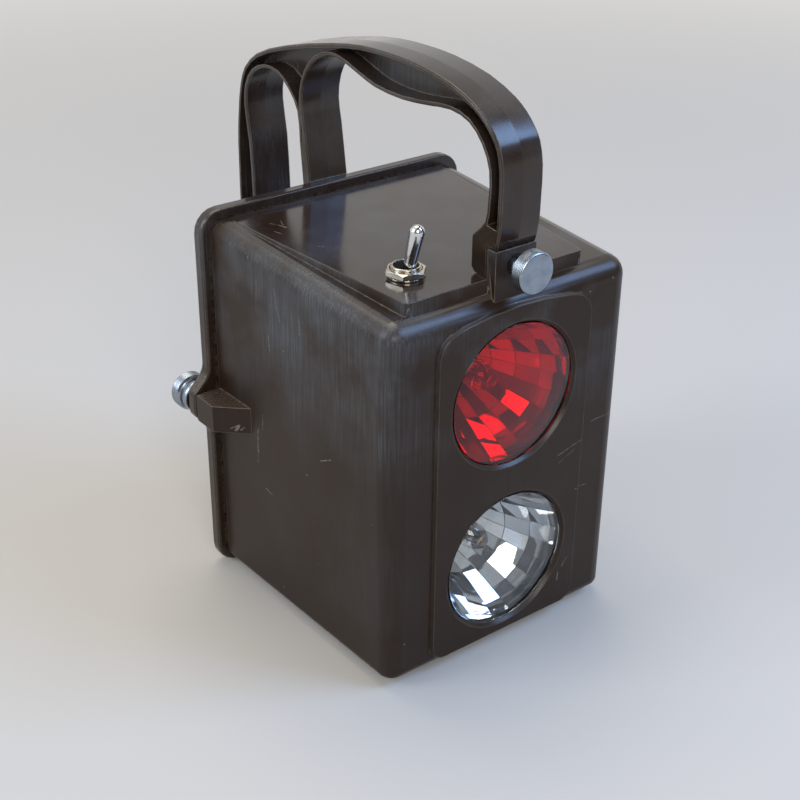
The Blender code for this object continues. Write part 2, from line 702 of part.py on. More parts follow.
def make_case():
    case = add_piece("case", drafted_box(), BROWN_PLASTIC)
    bevel(case, EDGE_RADIUS, 6, "WEIGHT")
    shell = case.modifiers.new("wall", "SOLIDIFY")
    shell.thickness = WALL
    shell.offset = -1.0
    shell.use_even_offset = True
    plateau, hollow = plateau_tools()
    join(case, panel_tool(), plateau, upstand_tool())
    for side in (-1, 1):
        join(case, lug_tool(side), foot_tool(side))
        hand = "left" if side < 0 else "right"
        join(case, rib_tool(side, BOARD_BOTTOM - GAP - RIB_SHEET, hand + "_lower_rib"))
        join(case, rib_tool(side, BOARD_TOP + GAP, hand + "_upper_rib"))
        stop_x = side * (BATTERY_SIDE / 2 + GAP + STOP_SHEET / 2)
        stop = block(hand + "_stop", (stop_x - STOP_SHEET / 2, BATTERY_FRONT, FLOOR - WALL / 2),
                     (stop_x + STOP_SHEET / 2, SPIGOT_FRONT - WALL, FLOOR + STOP_HEIGHT))
        join(case, add_tool(hand + "_stop", stop))
        rail_x = side * RAIL_SPREAD / 2
        rail = block(hand + "_rail", (rail_x - RAIL_SHEET / 2, BATTERY_FRONT, FLOOR - WALL / 2),
                     (rail_x + RAIL_SHEET / 2, SPIGOT_FRONT - WALL, FLOOR + RAIL_HEIGHT))
        join(case, add_tool(hand + "_rail", rail))
    for name, z in (("clear", CLEAR_LENS_Z), ("red", RED_LENS_Z)):
        collar = rod(name + "_collar", COLLAR_RADIUS, COLLAR_BACK - INNER_FRONT + WALL / 2, HOLE_STEPS)
        join(case, add_tool(name + "_collar", collar, (0, INNER_FRONT - WALL / 2, z), TO_REAR))
    for index, (x, z) in enumerate(boss_places()):
        boss = rod("boss", BOSS_RADIUS, COLLAR_BACK - INNER_FRONT + WALL / 2, 20)
        join(case, add_tool("boss_%d" % index, boss, (x, INNER_FRONT - WALL / 2, z), TO_REAR))
        pilot = rod("pilot", SCREW_RADIUS + GAP, SCREW_LENGTH, 12)
        cut(case, add_tool("pilot_%d" % index, pilot, (x, CLAMP_FRONT - SCREW_LENGTH + GAP, z), TO_REAR))
    cut(case, roof_clearance_tool(), hollow)
    cut(case, lens_hole_tool("clear_hole", CLEAR_LENS_Z), lens_hole_tool("red_hole", RED_LENS_Z))
    switch_hole = rod("switch_hole", BUSHING_RADIUS + GAP, 3 * WALL)
    cut(case, add_tool("switch_hole", switch_hole, (SWITCH_X, SWITCH_Y, PLATEAU - 2 * WALL)))
    upstand_bore = rod("upstand_bore", SHANK_RADIUS + SHANK_CLEARANCE, UPSTAND_HEIGHT, 24)
    cut(case, add_tool("upstand_bore", upstand_bore,
                       (0, SADDLE_FRONT - UPSTAND_HEIGHT, FRONT_SCREW_Z), TO_REAR))
    for side in (-1, 1):
        name = "left_lug_bore" if side < 0 else "right_lug_bore"
        bore = rod(name, INSERT_RADIUS + GAP, INSERT_LENGTH + 2 * GAP, SMALL_STEPS)
        cut(case, add_tool(name, bore, (side * SIDE_SCREW_X, CASE_RIM - INSERT_LENGTH - GAP, SIDE_SCREW_Z), TO_REAR))


# Lenses, reflectors and lamps

def ring(outer, inner, thickness):
    """The profile of a plain ring."""
    return [(outer, thickness), (outer, 0), (inner, 0), (inner, thickness)]


def bowl_depth(radius):
    return BOWL_DEPTH - radius ** 2 / (4 * REFLECTOR_FOCUS)


def bowl_back(radius):
    """The point one sheet thickness behind the bowl's inner surface."""
    normal = Vector((radius / (2 * REFLECTOR_FOCUS), 1.0)).normalized()
    return (radius + normal.x * REFLECTOR_SHEET, bowl_depth(radius) + normal.y * REFLECTOR_SHEET)


def reflector_profile():
    back = [bowl_back(radius) for radius in reversed(REFLECTOR_RINGS[1:-1])]
    front = [(radius, bowl_depth(radius)) for radius in REFLECTOR_RINGS]
    return [(NECK_RADIUS, NECK_END), (NECK_RADIUS, NECK_START + REFLECTOR_SHEET), *back,
            (REFLECTOR_RINGS[0] + REFLECTOR_SHEET, REFLECTOR_RIM), (LENS_RADIUS, REFLECTOR_RIM), (LENS_RADIUS, 0),
            *front, (NECK_BORE, NECK_START), (NECK_BORE, NECK_END)]


def bulb_profile():
    """A tubular glass bulb with a domed front end and a stem that enters the cap."""
    dome = [(BULB_RADIUS * math.cos(math.radians(angle)), BULB_RADIUS * (1 - math.sin(math.radians(angle))))
            for angle in (0, 18, 36, 54, 72, 90)]
    return [(0, BULB_LENGTH), (BULB_STEM_RADIUS, BULB_LENGTH), (BULB_STEM_RADIUS, BULB_LENGTH - CAP_CUP),
            (BULB_RADIUS, BULB_LENGTH - CAP_CUP - BULB_SHOULDER), *dome]


def cap_profile():
    """The bulb's screw cap: a cup for the stem, round ridges and a contact tip."""
    ridge_length = (CAP_LENGTH - CAP_CUP) / (2 * CAP_RIDGES + 2)
    ridges = []
    for index in range(CAP_RIDGES):
        top = CAP_LENGTH - (2 * index + 2) * ridge_length
        ridges.append((CAP_RADIUS, top))
        ridges.append((CAP_RADIUS - CAP_RIDGE, top - ridge_length))
    cup = BULB_STEM_RADIUS + GAP
    return [(0, CAP_LENGTH), (CAP_TIP_RADIUS, CAP_LENGTH), (CAP_TIP_RADIUS, CAP_LENGTH - ridge_length), *ridges,
            (CAP_RADIUS, ridge_length), (CAP_RADIUS, 0), (cup, 0), (cup, CAP_CUP), (0, CAP_CUP)]


def holder_profile():
    """The bulb holder, which grips the reflector's neck and guides the cap."""
    outer = NECK_RADIUS + GAP + HOLDER_WALL
    grip = NECK_RADIUS + GAP
    bore = CAP_RADIUS + GAP
    return [(outer, HOLDER_LENGTH), (outer, 0), (grip, 0), (grip, HOLDER_GRIP + GAP), (bore, HOLDER_GRIP + GAP),
            (bore, HOLDER_LENGTH)]


def make_lamp(colour, z, glass):
    """One optical unit: gasket, lens, reflector, bulb, cap and holder."""
    turned_piece(colour + "_lens_gasket", ring(LENS_RADIUS, LENS_HOLE_RADIUS + GAP, GASKET_THICKNESS), BLACK_RUBBER,
                 (0, GASKET_FRONT, z), TO_REAR, LENS_STEPS)
    disc = [(0, LENS_THICKNESS), (LENS_RADIUS, LENS_THICKNESS), (LENS_RADIUS, 0), (0, 0)]
    turned_piece(colour + "_lens", disc, glass, (0, LENS_FRONT, z), TO_REAR, LENS_STEPS, closed=False)
    turned_piece(colour + "_reflector", reflector_profile(), SILVER, (0, REFLECTOR_FRONT, z), TO_REAR,
                 REFLECTOR_SECTORS, smooth=False)
    turned_piece(colour + "_bulb", bulb_profile(), CLEAR_GLASS, (0, BULB_FRONT, z), TO_REAR, SMALL_STEPS, closed=False)
    turned_piece(colour + "_bulb_cap", cap_profile(), BRASS, (0, CAP_FRONT, z), TO_REAR, SMALL_STEPS, closed=False)
    turned_piece(colour + "_bulb_holder", holder_profile(), BLACK_PLASTIC, (0, HOLDER_FRONT, z), TO_REAR, SMALL_STEPS)


def make_contact_strip():
    """The strip that both bulb tips press on, along the backs of the holders."""
    low = (-STRIP_WIDTH / 2, STRIP_FRONT, CLEAR_LENS_Z - STRIP_END)
    high = (STRIP_WIDTH / 2, STRIP_FRONT + STRIP_SHEET, RED_LENS_Z + STRIP_END)
    add_piece("lamp_contact_strip", block("lamp_contact_strip", low, high), BRASS)


def make_clamp():
    """The plate that presses both reflector rims forward, and its four screws."""
    half = CASE_FRONT_WIDTH / 2 - WALL - CLAMP_MARGIN / 2
    bottom = FLOOR + CLAMP_MARGIN / 2
    top = ROOF_FRONT - WALL - CLAMP_MARGIN
    outline = upright_frame(half, bottom, top, CLAMP_CORNER, CLAMP_CORNER)
    middle = (CLAMP_FRONT + CLAMP_BACK) / 2
    bowl_hole = LENS_RADIUS - CLAMP_LEDGE
    holes = [circle(bowl_hole, 0, z, LENS_STEPS) for z in (CLEAR_LENS_Z, RED_LENS_Z)]
    holes += [circle(SCREW_RADIUS + GAP, x, z, 12) for x, z in boss_places()]
    add_piece("reflector_clamp", plate("reflector_clamp", outline, CLAMP_SHEET, holes=holes), ZINC,
              (0, middle, 0), FACING_FRONT)
    profile = [(0, SCREW_HEAD_HEIGHT), (SCREW_HEAD_RADIUS * 0.7, SCREW_HEAD_HEIGHT),
               (SCREW_HEAD_RADIUS, SCREW_HEAD_HEIGHT / 2), (SCREW_HEAD_RADIUS, 0), (SCREW_RADIUS, 0),
               (SCREW_RADIUS, -SCREW_LENGTH), (0, -SCREW_LENGTH)]
    for index, (x, z) in enumerate(boss_places()):
        turned_piece("clamp_screw_%d" % (index + 1), profile, ZINC, (x, CLAMP_BACK + GAP, z), TO_REAR, 12,
                     closed=False)


# The lid with its handle

def lid_outline():
    """The lid's rounded rectangle with an ear on each side for a thumb screw."""
    nose = SIDE_SCREW_X + EAR_NOSE
    tip = EAR_NOSE * 0.9
    right = [(LID_HALF, 0, LID_CORNER), (LID_HALF, SIDE_SCREW_Z - EAR_FLARE, EAR_HOLLOW_RADIUS),
             (nose, SIDE_SCREW_Z - tip, EAR_NOSE * 0.85), (nose, SIDE_SCREW_Z + tip, EAR_NOSE * 0.85),
             (LID_HALF, SIDE_SCREW_Z + EAR_FLARE, EAR_HOLLOW_RADIUS), (LID_HALF, LID_TOP, LID_CORNER)]
    left = [(-x, z, radius) for x, z, radius in reversed(right)]
    return rounded(right + left)


def front_leg(along, up):
    """A point of the handle placed from the upstand's front and the plateau, in millimetres."""
    return (UPSTAND_FRONT + along * MM, PLATEAU + up * MM)


def grip(along, up):
    """A point of the grip, which stretches between the upstand and the lid, in millimetres as drawn."""
    stretch = (LID_BACK - UPSTAND_FRONT) / DRAWN_SPAN
    return (UPSTAND_FRONT + along * MM * stretch, PLATEAU + HANDLE_RISE + up * MM)


def rear_leg(along, up):
    """A point of the handle placed from the lid's back and the handle's top, in millimetres."""
    return (LID_BACK + along * MM, PLATEAU + HANDLE_RISE + up * MM)


def hook_leg(along, up):
    """A point of the hook placed from its outer face and the handle's top, in millimetres."""
    return (HOOK_BACK + along * MM, PLATEAU + HANDLE_RISE + up * MM)


def outer_line():
    """The handle's outer side, from the upstand over the grip and down the hook."""
    return smooth_through([
        (UPSTAND_FRONT + GAP, UPSTAND_TOP + GAP), front_leg(-1.3, 20), front_leg(-1.6, 29), front_leg(-1.5, 42),
        grip(0.6, -20), grip(3.7, -15.6), grip(8.3, -11.3), grip(14.5, -7.6), grip(29, -2.8), grip(49, -0.2),
        grip(66, 0), grip(83, -1.0), grip(102.6, -4.2), rear_leg(17, -12.6), rear_leg(39, -20.6),
        hook_leg(-8.6, -28.4), hook_leg(-4.6, -36.5), hook_leg(-1.9, -49.5), hook_leg(-0.3, -64),
        (HOOK_BACK, HOOK_TIP + HOOK_THICKNESS / 2)], CURVE_STEPS)


def hook_end():
    """The rounded lower end of the hook."""
    centre = (HOOK_BACK - HOOK_THICKNESS / 2, HOOK_TIP + HOOK_THICKNESS / 2)
    return [Vector((centre[0] + HOOK_THICKNESS / 2 * math.cos(math.radians(angle)),
                    centre[1] + HOOK_THICKNESS / 2 * math.sin(math.radians(angle))))
            for angle in (-30, -60, -90, -120, -150)]


def slot_line():
    """The inner side of the hook, up over its arch and down the leg on the lid's back."""
    return smooth_through([
        (HOOK_BACK - HOOK_THICKNESS, HOOK_TIP + HOOK_THICKNESS / 2), hook_leg(-13.2, -86), hook_leg(-11.9, -61),
        hook_leg(-9.3, -45.5), hook_leg(-10.5, -36.9), hook_leg(-15.9, -29.5), rear_leg(32.6, -25.5),
        rear_leg(22.5, -25.8), rear_leg(14.4, -30.5), rear_leg(8.4, -38), rear_leg(7.1, -50.5),
        (LID_BACK + SPINE_DEPTH, PLATEAU)], CURVE_STEPS)


def hand_line():
    """The inner side of the grip, from the lid's top edge round to the saddle on the plateau."""
    return smooth_through([
        (LID_BACK - GAP, PLATEAU + FLANGE_PROUD - GAP), rear_leg(3.1, -44.3), rear_leg(4.9, -34.5),
        rear_leg(3.0, -24.8), rear_leg(-2.4, -16.6), grip(109, -10.9), grip(100.6, -9.4), grip(93, -10.6),
        grip(83.3, -13.2), grip(74.2, -15.2), grip(57.2, -15.8), grip(40.9, -14.1), grip(28.8, -12.6),
        grip(18.1, -14.6), grip(10.6, -20.7), front_leg(6.3, 41.2), front_leg(6.2, 30), front_leg(7.4, 21.6),
        (SADDLE_BACK - SADDLE_CHAMFER, PLATEAU + SADDLE_HEIGHT)], CURVE_STEPS)


def handle_outline():
    """The handle's side view: saddle, front leg, grip, hook and the spine down the lid's back."""
    inside_lid = LID_FRONT + LID_THICKNESS / 2
    saddle_bottom = PLATEAU + GAP
    saddle_seat = [(SADDLE_BACK, PLATEAU + SADDLE_HEIGHT - SADDLE_CHAMFER),
                   (SADDLE_BACK, saddle_bottom + SADDLE_CHAMFER),
                   (SADDLE_BACK - SADDLE_CHAMFER, saddle_bottom), (SADDLE_FRONT, saddle_bottom),
                   (SADDLE_FRONT, UPSTAND_TOP + GAP)]
    spine = [(LID_BACK + SPINE_DEPTH, SPINE_FOOT + SPINE_DEPTH), (LID_BACK, SPINE_FOOT), (inside_lid, SPINE_FOOT),
             (inside_lid, PLATEAU)]
    lines = [*outer_line(), *hook_end(), *slot_line()]
    return [tuple(point) for point in lines] + spine + [tuple(point) for point in hand_line()] + saddle_seat


def pocket_outline():
    """The recess in each side of the handle, one flange thickness inside its edges."""
    pocket_floor = PLATEAU + SADDLE_HEIGHT + FLANGE_SHEET
    groove_floor = PLATEAU + FLANGE_PROUD + 2 * FLANGE_SHEET
    outer = [point for point in drawn_in(outer_line(), FLANGE_SHEET) if point.y > pocket_floor or
             point.x > SADDLE_BACK + HANDLE_HALF]
    tip = [(HOOK_BACK - HOOK_THICKNESS / 2, HOOK_TIP + 2 * FLANGE_SHEET)]
    slot = [point for point in drawn_in(slot_line(), FLANGE_SHEET) if point.y > groove_floor or
            point.x > LID_BACK + HOOK_THICKNESS]
    hand = [point for point in drawn_in(hand_line(), FLANGE_SHEET) if point.y > max(pocket_floor, groove_floor)]
    return [tuple(point) for point in (*outer, *tip, *slot, *hand)]


def make_lid():
    middle = (LID_FRONT + LID_BACK) / 2
    ear_holes = [circle(SHANK_RADIUS + SHANK_CLEARANCE, side * SIDE_SCREW_X, SIDE_SCREW_Z, 24) for side in (-1, 1)]
    lid = add_piece("rear_lid", plate("rear_lid", lid_outline(), LID_THICKNESS, LID_EDGE, ear_holes, 1),
                    BROWN_PLASTIC, (0, middle, 0), FACING_FRONT)
    spigot_outer = rim_outline(WALL + SPIGOT_CLEARANCE)
    spigot_inner = rim_outline(WALL + SPIGOT_CLEARANCE + SPIGOT_WALL)
    spigot_length = SPIGOT_DEPTH + LID_THICKNESS / 2
    spigot = plate("spigot", spigot_outer, spigot_length, holes=[spigot_inner])
    join(lid, add_tool("spigot", spigot, (0, SPIGOT_FRONT + spigot_length / 2, 0), FACING_FRONT))
    handle = plate("handle", handle_outline(), HANDLE_WIDTH, HANDLE_EDGE)
    join(lid, add_tool("handle", handle, (0, 0, 0), FACING_SIDE))
    bore = rod("saddle_bore", INSERT_RADIUS + GAP, INSERT_LENGTH + 2 * GAP, SMALL_STEPS)
    cut(lid, add_tool("saddle_bore", bore, (0, SADDLE_FRONT - GAP, FRONT_SCREW_Z), TO_REAR))
    pocket_depth = HANDLE_HALF - WEB_SHEET / 2
    for side in (-1, 1):
        name = "left_pocket" if side < 0 else "right_pocket"
        pocket = plate(name, pocket_outline(), 2 * pocket_depth)
        cut(lid, add_tool(name, pocket, (side * (WEB_SHEET / 2 + pocket_depth), 0, 0), FACING_SIDE))
    return lid


def make_seal():
    seal = plate("lid_seal", rim_outline(SEAL_INSET), SEAL_THICKNESS, holes=[rim_outline(WALL)])
    add_piece("lid_seal", seal, BLACK_RUBBER, (0, CASE_RIM + GAP + SEAL_THICKNESS / 2, 0), FACING_FRONT)


def make_pad():
    """The foam pad on the lid that steadies the battery."""
    middle = BATTERY_BOTTOM + BATTERY_HEIGHT / 2
    low = (-PAD_WIDTH / 2, PAD_FRONT, middle - PAD_HEIGHT / 2)
    high = (PAD_WIDTH / 2, PAD_FRONT + PAD_THICKNESS, middle + PAD_HEIGHT / 2)
    add_piece("battery_pad", block("battery_pad", low, high), BLACK_RUBBER)


# Thumb screws and inserts

def thumb_screw_profile(shoulder, length):
    """A knurled head, a shoulder and a threaded shank, with the head's base at zero height."""
    point = SHANK_RADIUS / 4
    rim = KNOB_CHAMFER / 2
    return [(0, length), (SHANK_RADIUS - point, length), (SHANK_RADIUS, length - point), (SHANK_RADIUS, shoulder),
            (SHOULDER_RADIUS, shoulder), (SHOULDER_RADIUS, 0), (KNOB_RADIUS - rim, 0), (KNOB_RADIUS, -rim),
            (KNOB_RADIUS, KNOB_CHAMFER - KNOB_LENGTH), (KNOB_RADIUS - KNOB_CHAMFER, -KNOB_LENGTH), (0, -KNOB_LENGTH)]


def make_thumb_screws():
    base = UPSTAND_FRONT - GAP - FRONT_SHOULDER
    length = SADDLE_FRONT - base + SCREW_REACH
    turned_piece("front_thumb_screw", thumb_screw_profile(FRONT_SHOULDER, length), ALUMINIUM,
                 (0, base, FRONT_SCREW_Z), TO_REAR, KNOB_STEPS, closed=False)
    insert = ring(INSERT_RADIUS, SHANK_RADIUS + SHANK_CLEARANCE, INSERT_LENGTH)
    turned_piece("front_insert", insert, BRASS, (0, SADDLE_FRONT, FRONT_SCREW_Z), TO_REAR, SMALL_STEPS)
    base = LID_BACK + GAP + SIDE_SHOULDER
    length = base - CASE_RIM + SCREW_REACH
    for side in (-1, 1):
        hand = "left" if side < 0 else "right"
        turned_piece(hand + "_thumb_screw", thumb_screw_profile(SIDE_SHOULDER, length), ALUMINIUM,
                     (side * SIDE_SCREW_X, base, SIDE_SCREW_Z), TO_FRONT, KNOB_STEPS, closed=False)
        turned_piece(hand + "_insert", insert, BRASS, (side * SIDE_SCREW_X, CASE_RIM, SIDE_SCREW_Z), TO_FRONT,
                     SMALL_STEPS)


# The toggle switch

def make_switch():
    width, length, height = SWITCH_BODY
    body = add_piece("switch_body", block("switch_body", (-width / 2, -length / 2, -height), (width / 2, length / 2, 0)),
                     BLACK_PLASTIC, (SWITCH_X, SWITCH_Y, SWITCH_BODY_TOP))
    well = rod("switch_well", LEVER_BALL_RADIUS + GAP, height / 2, 24)
    cut(body, add_tool("switch_well", well, (SWITCH_X, SWITCH_Y, SWITCH_BODY_TOP - height / 4)))

    seat = LEVER_BALL_RADIUS + GAP
    top = BUSHING_TOP - BUSHING_BOTTOM
    pivot = LEVER_PIVOT - BUSHING_BOTTOM
    bushing = [(BUSHING_RADIUS - TAG_SHEET / 2, top), (BUSHING_RADIUS, top - TAG_SHEET / 2), (BUSHING_RADIUS, 0), (seat, 0),
               (seat, pivot), (BUSHING_MOUTH, top)]
    turned_piece("switch_bushing", bushing, NICKEL, (SWITCH_X, SWITCH_Y, BUSHING_BOTTOM), (0, 0, 0))

    washer = ring(WASHER_RADIUS, BUSHING_RADIUS + GAP, WASHER_THICKNESS)
    turned_piece("switch_washer", washer, NICKEL, (SWITCH_X, SWITCH_Y, PLATEAU + GAP), (0, 0, 0))
    nut_bottom = PLATEAU + GAP + WASHER_THICKNESS + GAP
    make_nut("switch_nut", nut_bottom, NUT_THICKNESS, NUT_TURN)
    make_nut("switch_back_nut", SWITCH_BODY_TOP + GAP, BACK_NUT_THICKNESS - GAP, 0)

    cheek = math.radians(50)
    ball = [(LEVER_BALL_RADIUS * math.cos(angle), LEVER_BALL_RADIUS * math.sin(angle))
            for angle in (cheek, cheek / 2, 0, -cheek / 2, -cheek, -math.radians(68))]
    dome = [(LEVER_TIP_RADIUS * math.sin(math.radians(angle)),
             LEVER_LENGTH - LEVER_TIP_RADIUS * (1 - math.cos(math.radians(angle)))) for angle in (0, 22, 45, 68, 90)]
    lever = dome + ball + [(LEVER_TAIL_RADIUS, -LEVER_TAIL), (0, -LEVER_TAIL)]
    turned_piece("switch_lever", lever, CHROME, (SWITCH_X, SWITCH_Y, LEVER_PIVOT), (LEVER_TILT, 0, 0), SMALL_STEPS,
                 closed=False)

    for index, name in enumerate(("front", "middle", "rear")):
        y = SWITCH_Y + (index - 1) * TAG_PITCH
        low = (SWITCH_X - TAG_WIDTH / 2, y - TAG_SHEET / 2, SWITCH_BODY_BOTTOM - GAP - TAG_LENGTH)
        high = (SWITCH_X + TAG_WIDTH / 2, y + TAG_SHEET / 2, SWITCH_BODY_BOTTOM - GAP)
        add_piece(name + "_switch_tag", block(name + "_switch_tag", low, high), NICKEL)


def make_nut(name, bottom, thickness, turn):
    """A hexagon nut with chamfered corners."""
    corner = NUT_ACROSS_FLATS / math.sqrt(3)
    nut = add_piece(name, rod(name, corner, thickness, 6), NICKEL, (SWITCH_X, SWITCH_Y, bottom), (0, 0, turn))
    chamfer = corner - NUT_ACROSS_FLATS / 2
    cone = [(0, thickness), (NUT_ACROSS_FLATS / 2, thickness), (corner + chamfer / 2, thickness - chamfer * 0.8),
            (corner + chamfer / 2, 0), (0, 0)]
    boolean(nut, turned_tool(name + "_chamfer", cone, (SWITCH_X, SWITCH_Y, bottom), (0, 0, 0), SMALL_STEPS,
                             closed=False), "INTERSECT")
    bore = rod(name + "_bore", BUSHING_RADIUS + GAP, 3 * thickness, SMALL_STEPS)
    cut(nut, add_tool(name + "_bore", bore, (SWITCH_X, SWITCH_Y, bottom - thickness)))


# Battery and wiring

def terminal_route(x, y):
    """A conical spring that narrows towards its top."""
    points = []
    count = 10 * TERMINAL_TURNS
    for index in range(count + 1):
        share = index / count
        angle = math.tau * TERMINAL_TURNS * share
        radius = TERMINAL_RADIUS + (TERMINAL_TOP_RADIUS - TERMINAL_RADIUS) * share
        height = TERMINAL_BOTTOM + TERMINAL_WIRE + (TERMINAL_HEIGHT - 2 * TERMINAL_WIRE) * share
        points.append((x + radius * math.cos(angle), y + radius * math.sin(angle), height))
    return points


def terminal_place(name):
    """Where a battery terminal stands, as (x, y)."""
    middle = (BATTERY_FRONT + BATTERY_BACK) / 2
    return (TERMINAL_OFFSET, middle + TERMINAL_OFFSET) if name == "positive" else (0, middle)


def make_battery():
    half = BATTERY_SIDE / 2
    middle_y = BATTERY_FRONT + half
    outline = rounded([(-half, -half, BATTERY_CORNER), (half, -half, BATTERY_CORNER), (half, half, BATTERY_CORNER),
                       (-half, half, BATTERY_CORNER)])
    battery = plate("battery", outline, BATTERY_HEIGHT)
    add_piece("battery", battery, ((0.05, 0.08, 0.16), 0.4), (0, middle_y, BATTERY_BOTTOM + BATTERY_HEIGHT / 2))
    for name in ("positive", "negative"):
        x, y = terminal_place(name)
        spring = bent_rods(name + "_battery_terminal", [terminal_route(x, y)], TERMINAL_WIRE)
        add_piece(name + "_battery_terminal", spring, NICKEL)
        low = (x - CONTACT_SIDE / 2, y - CONTACT_SIDE / 2, CONTACT_BOTTOM)
        high = (x + CONTACT_SIDE / 2, y + CONTACT_SIDE / 2, CONTACT_BOTTOM + CONTACT_SHEET)
        add_piece(name + "_contact", block(name + "_contact", low, high), BRASS)
    board = block("terminal_board", (-BOARD_HALF_WIDTH, BOARD_FRONT, BOARD_BOTTOM),
                  (BOARD_HALF_WIDTH, BOARD_BACK, BOARD_TOP))
    add_piece("terminal_board", board, ((0.22, 0.09, 0.03), 0.5))


def make_wires():
    """The wires between the switch's tags, the bulb holders and the battery contacts."""
    tag_end = SWITCH_BODY_BOTTOM - GAP - TAG_LENGTH - GAP
    holder_side = -(NECK_RADIUS + GAP + HOLDER_WALL + GAP)
    holder_y = HOLDER_FRONT + HOLDER_LENGTH / 2
    board_y = BOARD_FRONT - 3 * WIRE_RADIUS
    under_contact = CONTACT_BOTTOM - GAP - WIRE_RADIUS
    strip_back = STRIP_FRONT + STRIP_SHEET + GAP + WIRE_RADIUS
    positive_x, positive_y = terminal_place("positive")
    negative_x, negative_y = terminal_place("negative")
    solder = CONTACT_SIDE / 2 - 2 * MM
    front_y, middle_y, rear_y = (SWITCH_Y + step * TAG_PITCH for step in (-1, 0, 1))
    drop = tag_end - 4 * MM
    routes = {
        "red_lamp_wire": [(SWITCH_X, front_y, tag_end), (SWITCH_X, front_y, drop),
                          (SWITCH_X, holder_y, RED_LENS_Z + 4 * MM), (SWITCH_X / 2 + holder_side / 2, holder_y, RED_LENS_Z),
                          (holder_side, holder_y, RED_LENS_Z)],
        "clear_lamp_wire": [(SWITCH_X, rear_y, tag_end), (SWITCH_X - 2 * MM, rear_y, drop),
                            (SWITCH_X - 9 * MM, rear_y + 2 * MM, RED_LENS_Z), (SWITCH_X - 9 * MM, rear_y + 2 * MM, CLEAR_LENS_Z + 20 * MM),
                            (SWITCH_X, holder_y, CLEAR_LENS_Z), (holder_side, holder_y, CLEAR_LENS_Z)],
        "positive_wire": [(SWITCH_X, middle_y, tag_end), (SWITCH_X + 1 * MM, middle_y + 1 * MM, drop),
                          (SWITCH_X / 2, board_y - 2 * MM, BOARD_TOP + 3 * MM), (0, board_y, BOARD_TOP + 3 * MM),
                          (positive_x - 3 * MM, board_y, BOARD_TOP), (positive_x, board_y, under_contact),
                          (positive_x, BOARD_FRONT + 8 * MM, under_contact),
                          (positive_x, positive_y - solder, under_contact)],
        "negative_wire": [(negative_x, strip_back, RED_LENS_Z - 4 * MM), (negative_x, strip_back, RED_LENS_Z + 1 * MM),
                          (negative_x, board_y, under_contact), (negative_x, negative_y - solder, under_contact)],
    }
    for name, points in routes.items():
        add_piece(name, bent_rods(name, [smooth_through(points, 3)], WIRE_RADIUS), BLACK_PLASTIC)


make_case()
make_lamp("clear", CLEAR_LENS_Z, CLEAR_GLASS)
make_lamp("red", RED_LENS_Z, RED_GLASS)
make_contact_strip()
make_clamp()
make_lid()
make_seal()
make_pad()
make_thumb_screws()
make_switch()
make_battery()
make_wires()
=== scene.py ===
import math
import random

import bmesh
import bpy
from mathutils import Matrix, Vector


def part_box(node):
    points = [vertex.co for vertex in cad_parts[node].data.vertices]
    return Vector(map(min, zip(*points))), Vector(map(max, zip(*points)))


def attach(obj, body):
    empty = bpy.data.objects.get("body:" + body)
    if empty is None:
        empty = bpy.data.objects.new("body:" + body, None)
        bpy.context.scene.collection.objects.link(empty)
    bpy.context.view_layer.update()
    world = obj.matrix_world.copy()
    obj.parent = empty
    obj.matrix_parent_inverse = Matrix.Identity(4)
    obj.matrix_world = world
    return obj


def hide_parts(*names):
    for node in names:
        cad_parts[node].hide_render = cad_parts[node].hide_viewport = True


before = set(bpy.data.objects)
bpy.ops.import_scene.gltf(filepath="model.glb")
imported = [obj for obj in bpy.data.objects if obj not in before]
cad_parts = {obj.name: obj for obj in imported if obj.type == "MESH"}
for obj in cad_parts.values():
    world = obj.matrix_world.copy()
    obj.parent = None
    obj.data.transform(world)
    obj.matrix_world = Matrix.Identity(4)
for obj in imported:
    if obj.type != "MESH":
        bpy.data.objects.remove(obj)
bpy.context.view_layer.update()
mm = 0.001


def putInScene(name, data):
    thing = bpy.data.objects.new(name, data)
    bpy.context.scene.collection.objects.link(thing)
    return thing


# Camera, where the photograph was taken from

photoView = {
    "place": (-0.32799, -0.44099, 0.3764),
    "azimuth": -37.54,
    "elevation": 28.55,
    "roll": 0.57,
    "lens": 64.45,  # millimetres on a 36 mm sensor
}


def setCamera(view):
    turn = math.radians(view["azimuth"])
    tilt = math.radians(view["elevation"])
    roll = math.radians(view["roll"])
    back = Vector((math.sin(turn) * math.cos(tilt), -math.cos(turn) * math.cos(tilt), math.sin(tilt)))
    right = Vector((math.cos(turn), math.sin(turn), 0))
    up = back.cross(right)
    rolledRight = right * math.cos(roll) + up * math.sin(roll)
    rolledUp = up * math.cos(roll) - right * math.sin(roll)
    cameraData = bpy.data.cameras.new("camera")
    cameraData.sensor_width = 36
    cameraData.lens = view["lens"]
    camera = putInScene("camera", cameraData)
    axes = Matrix((rolledRight, rolledUp, back)).transposed().to_4x4()
    camera.matrix_world = Matrix.Translation(Vector(view["place"])) @ axes
    bpy.context.scene.camera = camera


# Colours and shader nodes

def toLinear(hexColour):
    channels = []
    for start in (1, 3, 5):
        value = int(hexColour[start:start + 2], 16) / 255
        channels.append(value / 12.92 if value <= 0.04045 else ((value + 0.055) / 1.055) ** 2.4)
    return (*channels, 1.0)


def addNode(tree, kind, settings=None, links=None):
    # A setting is a property of the node or the value of one of its sockets
    node = tree.nodes.new("ShaderNode" + kind)
    for name, value in (settings or {}).items():
        if isinstance(name, str) and hasattr(node, name):
            setattr(node, name, value)
        else:
            node.inputs[name].default_value = value
    for name, source in (links or {}).items():
        if isinstance(source, bpy.types.Node):
            source = next(output for output in source.outputs if output.enabled)
        tree.links.new(source, node.inputs[name])
    return node


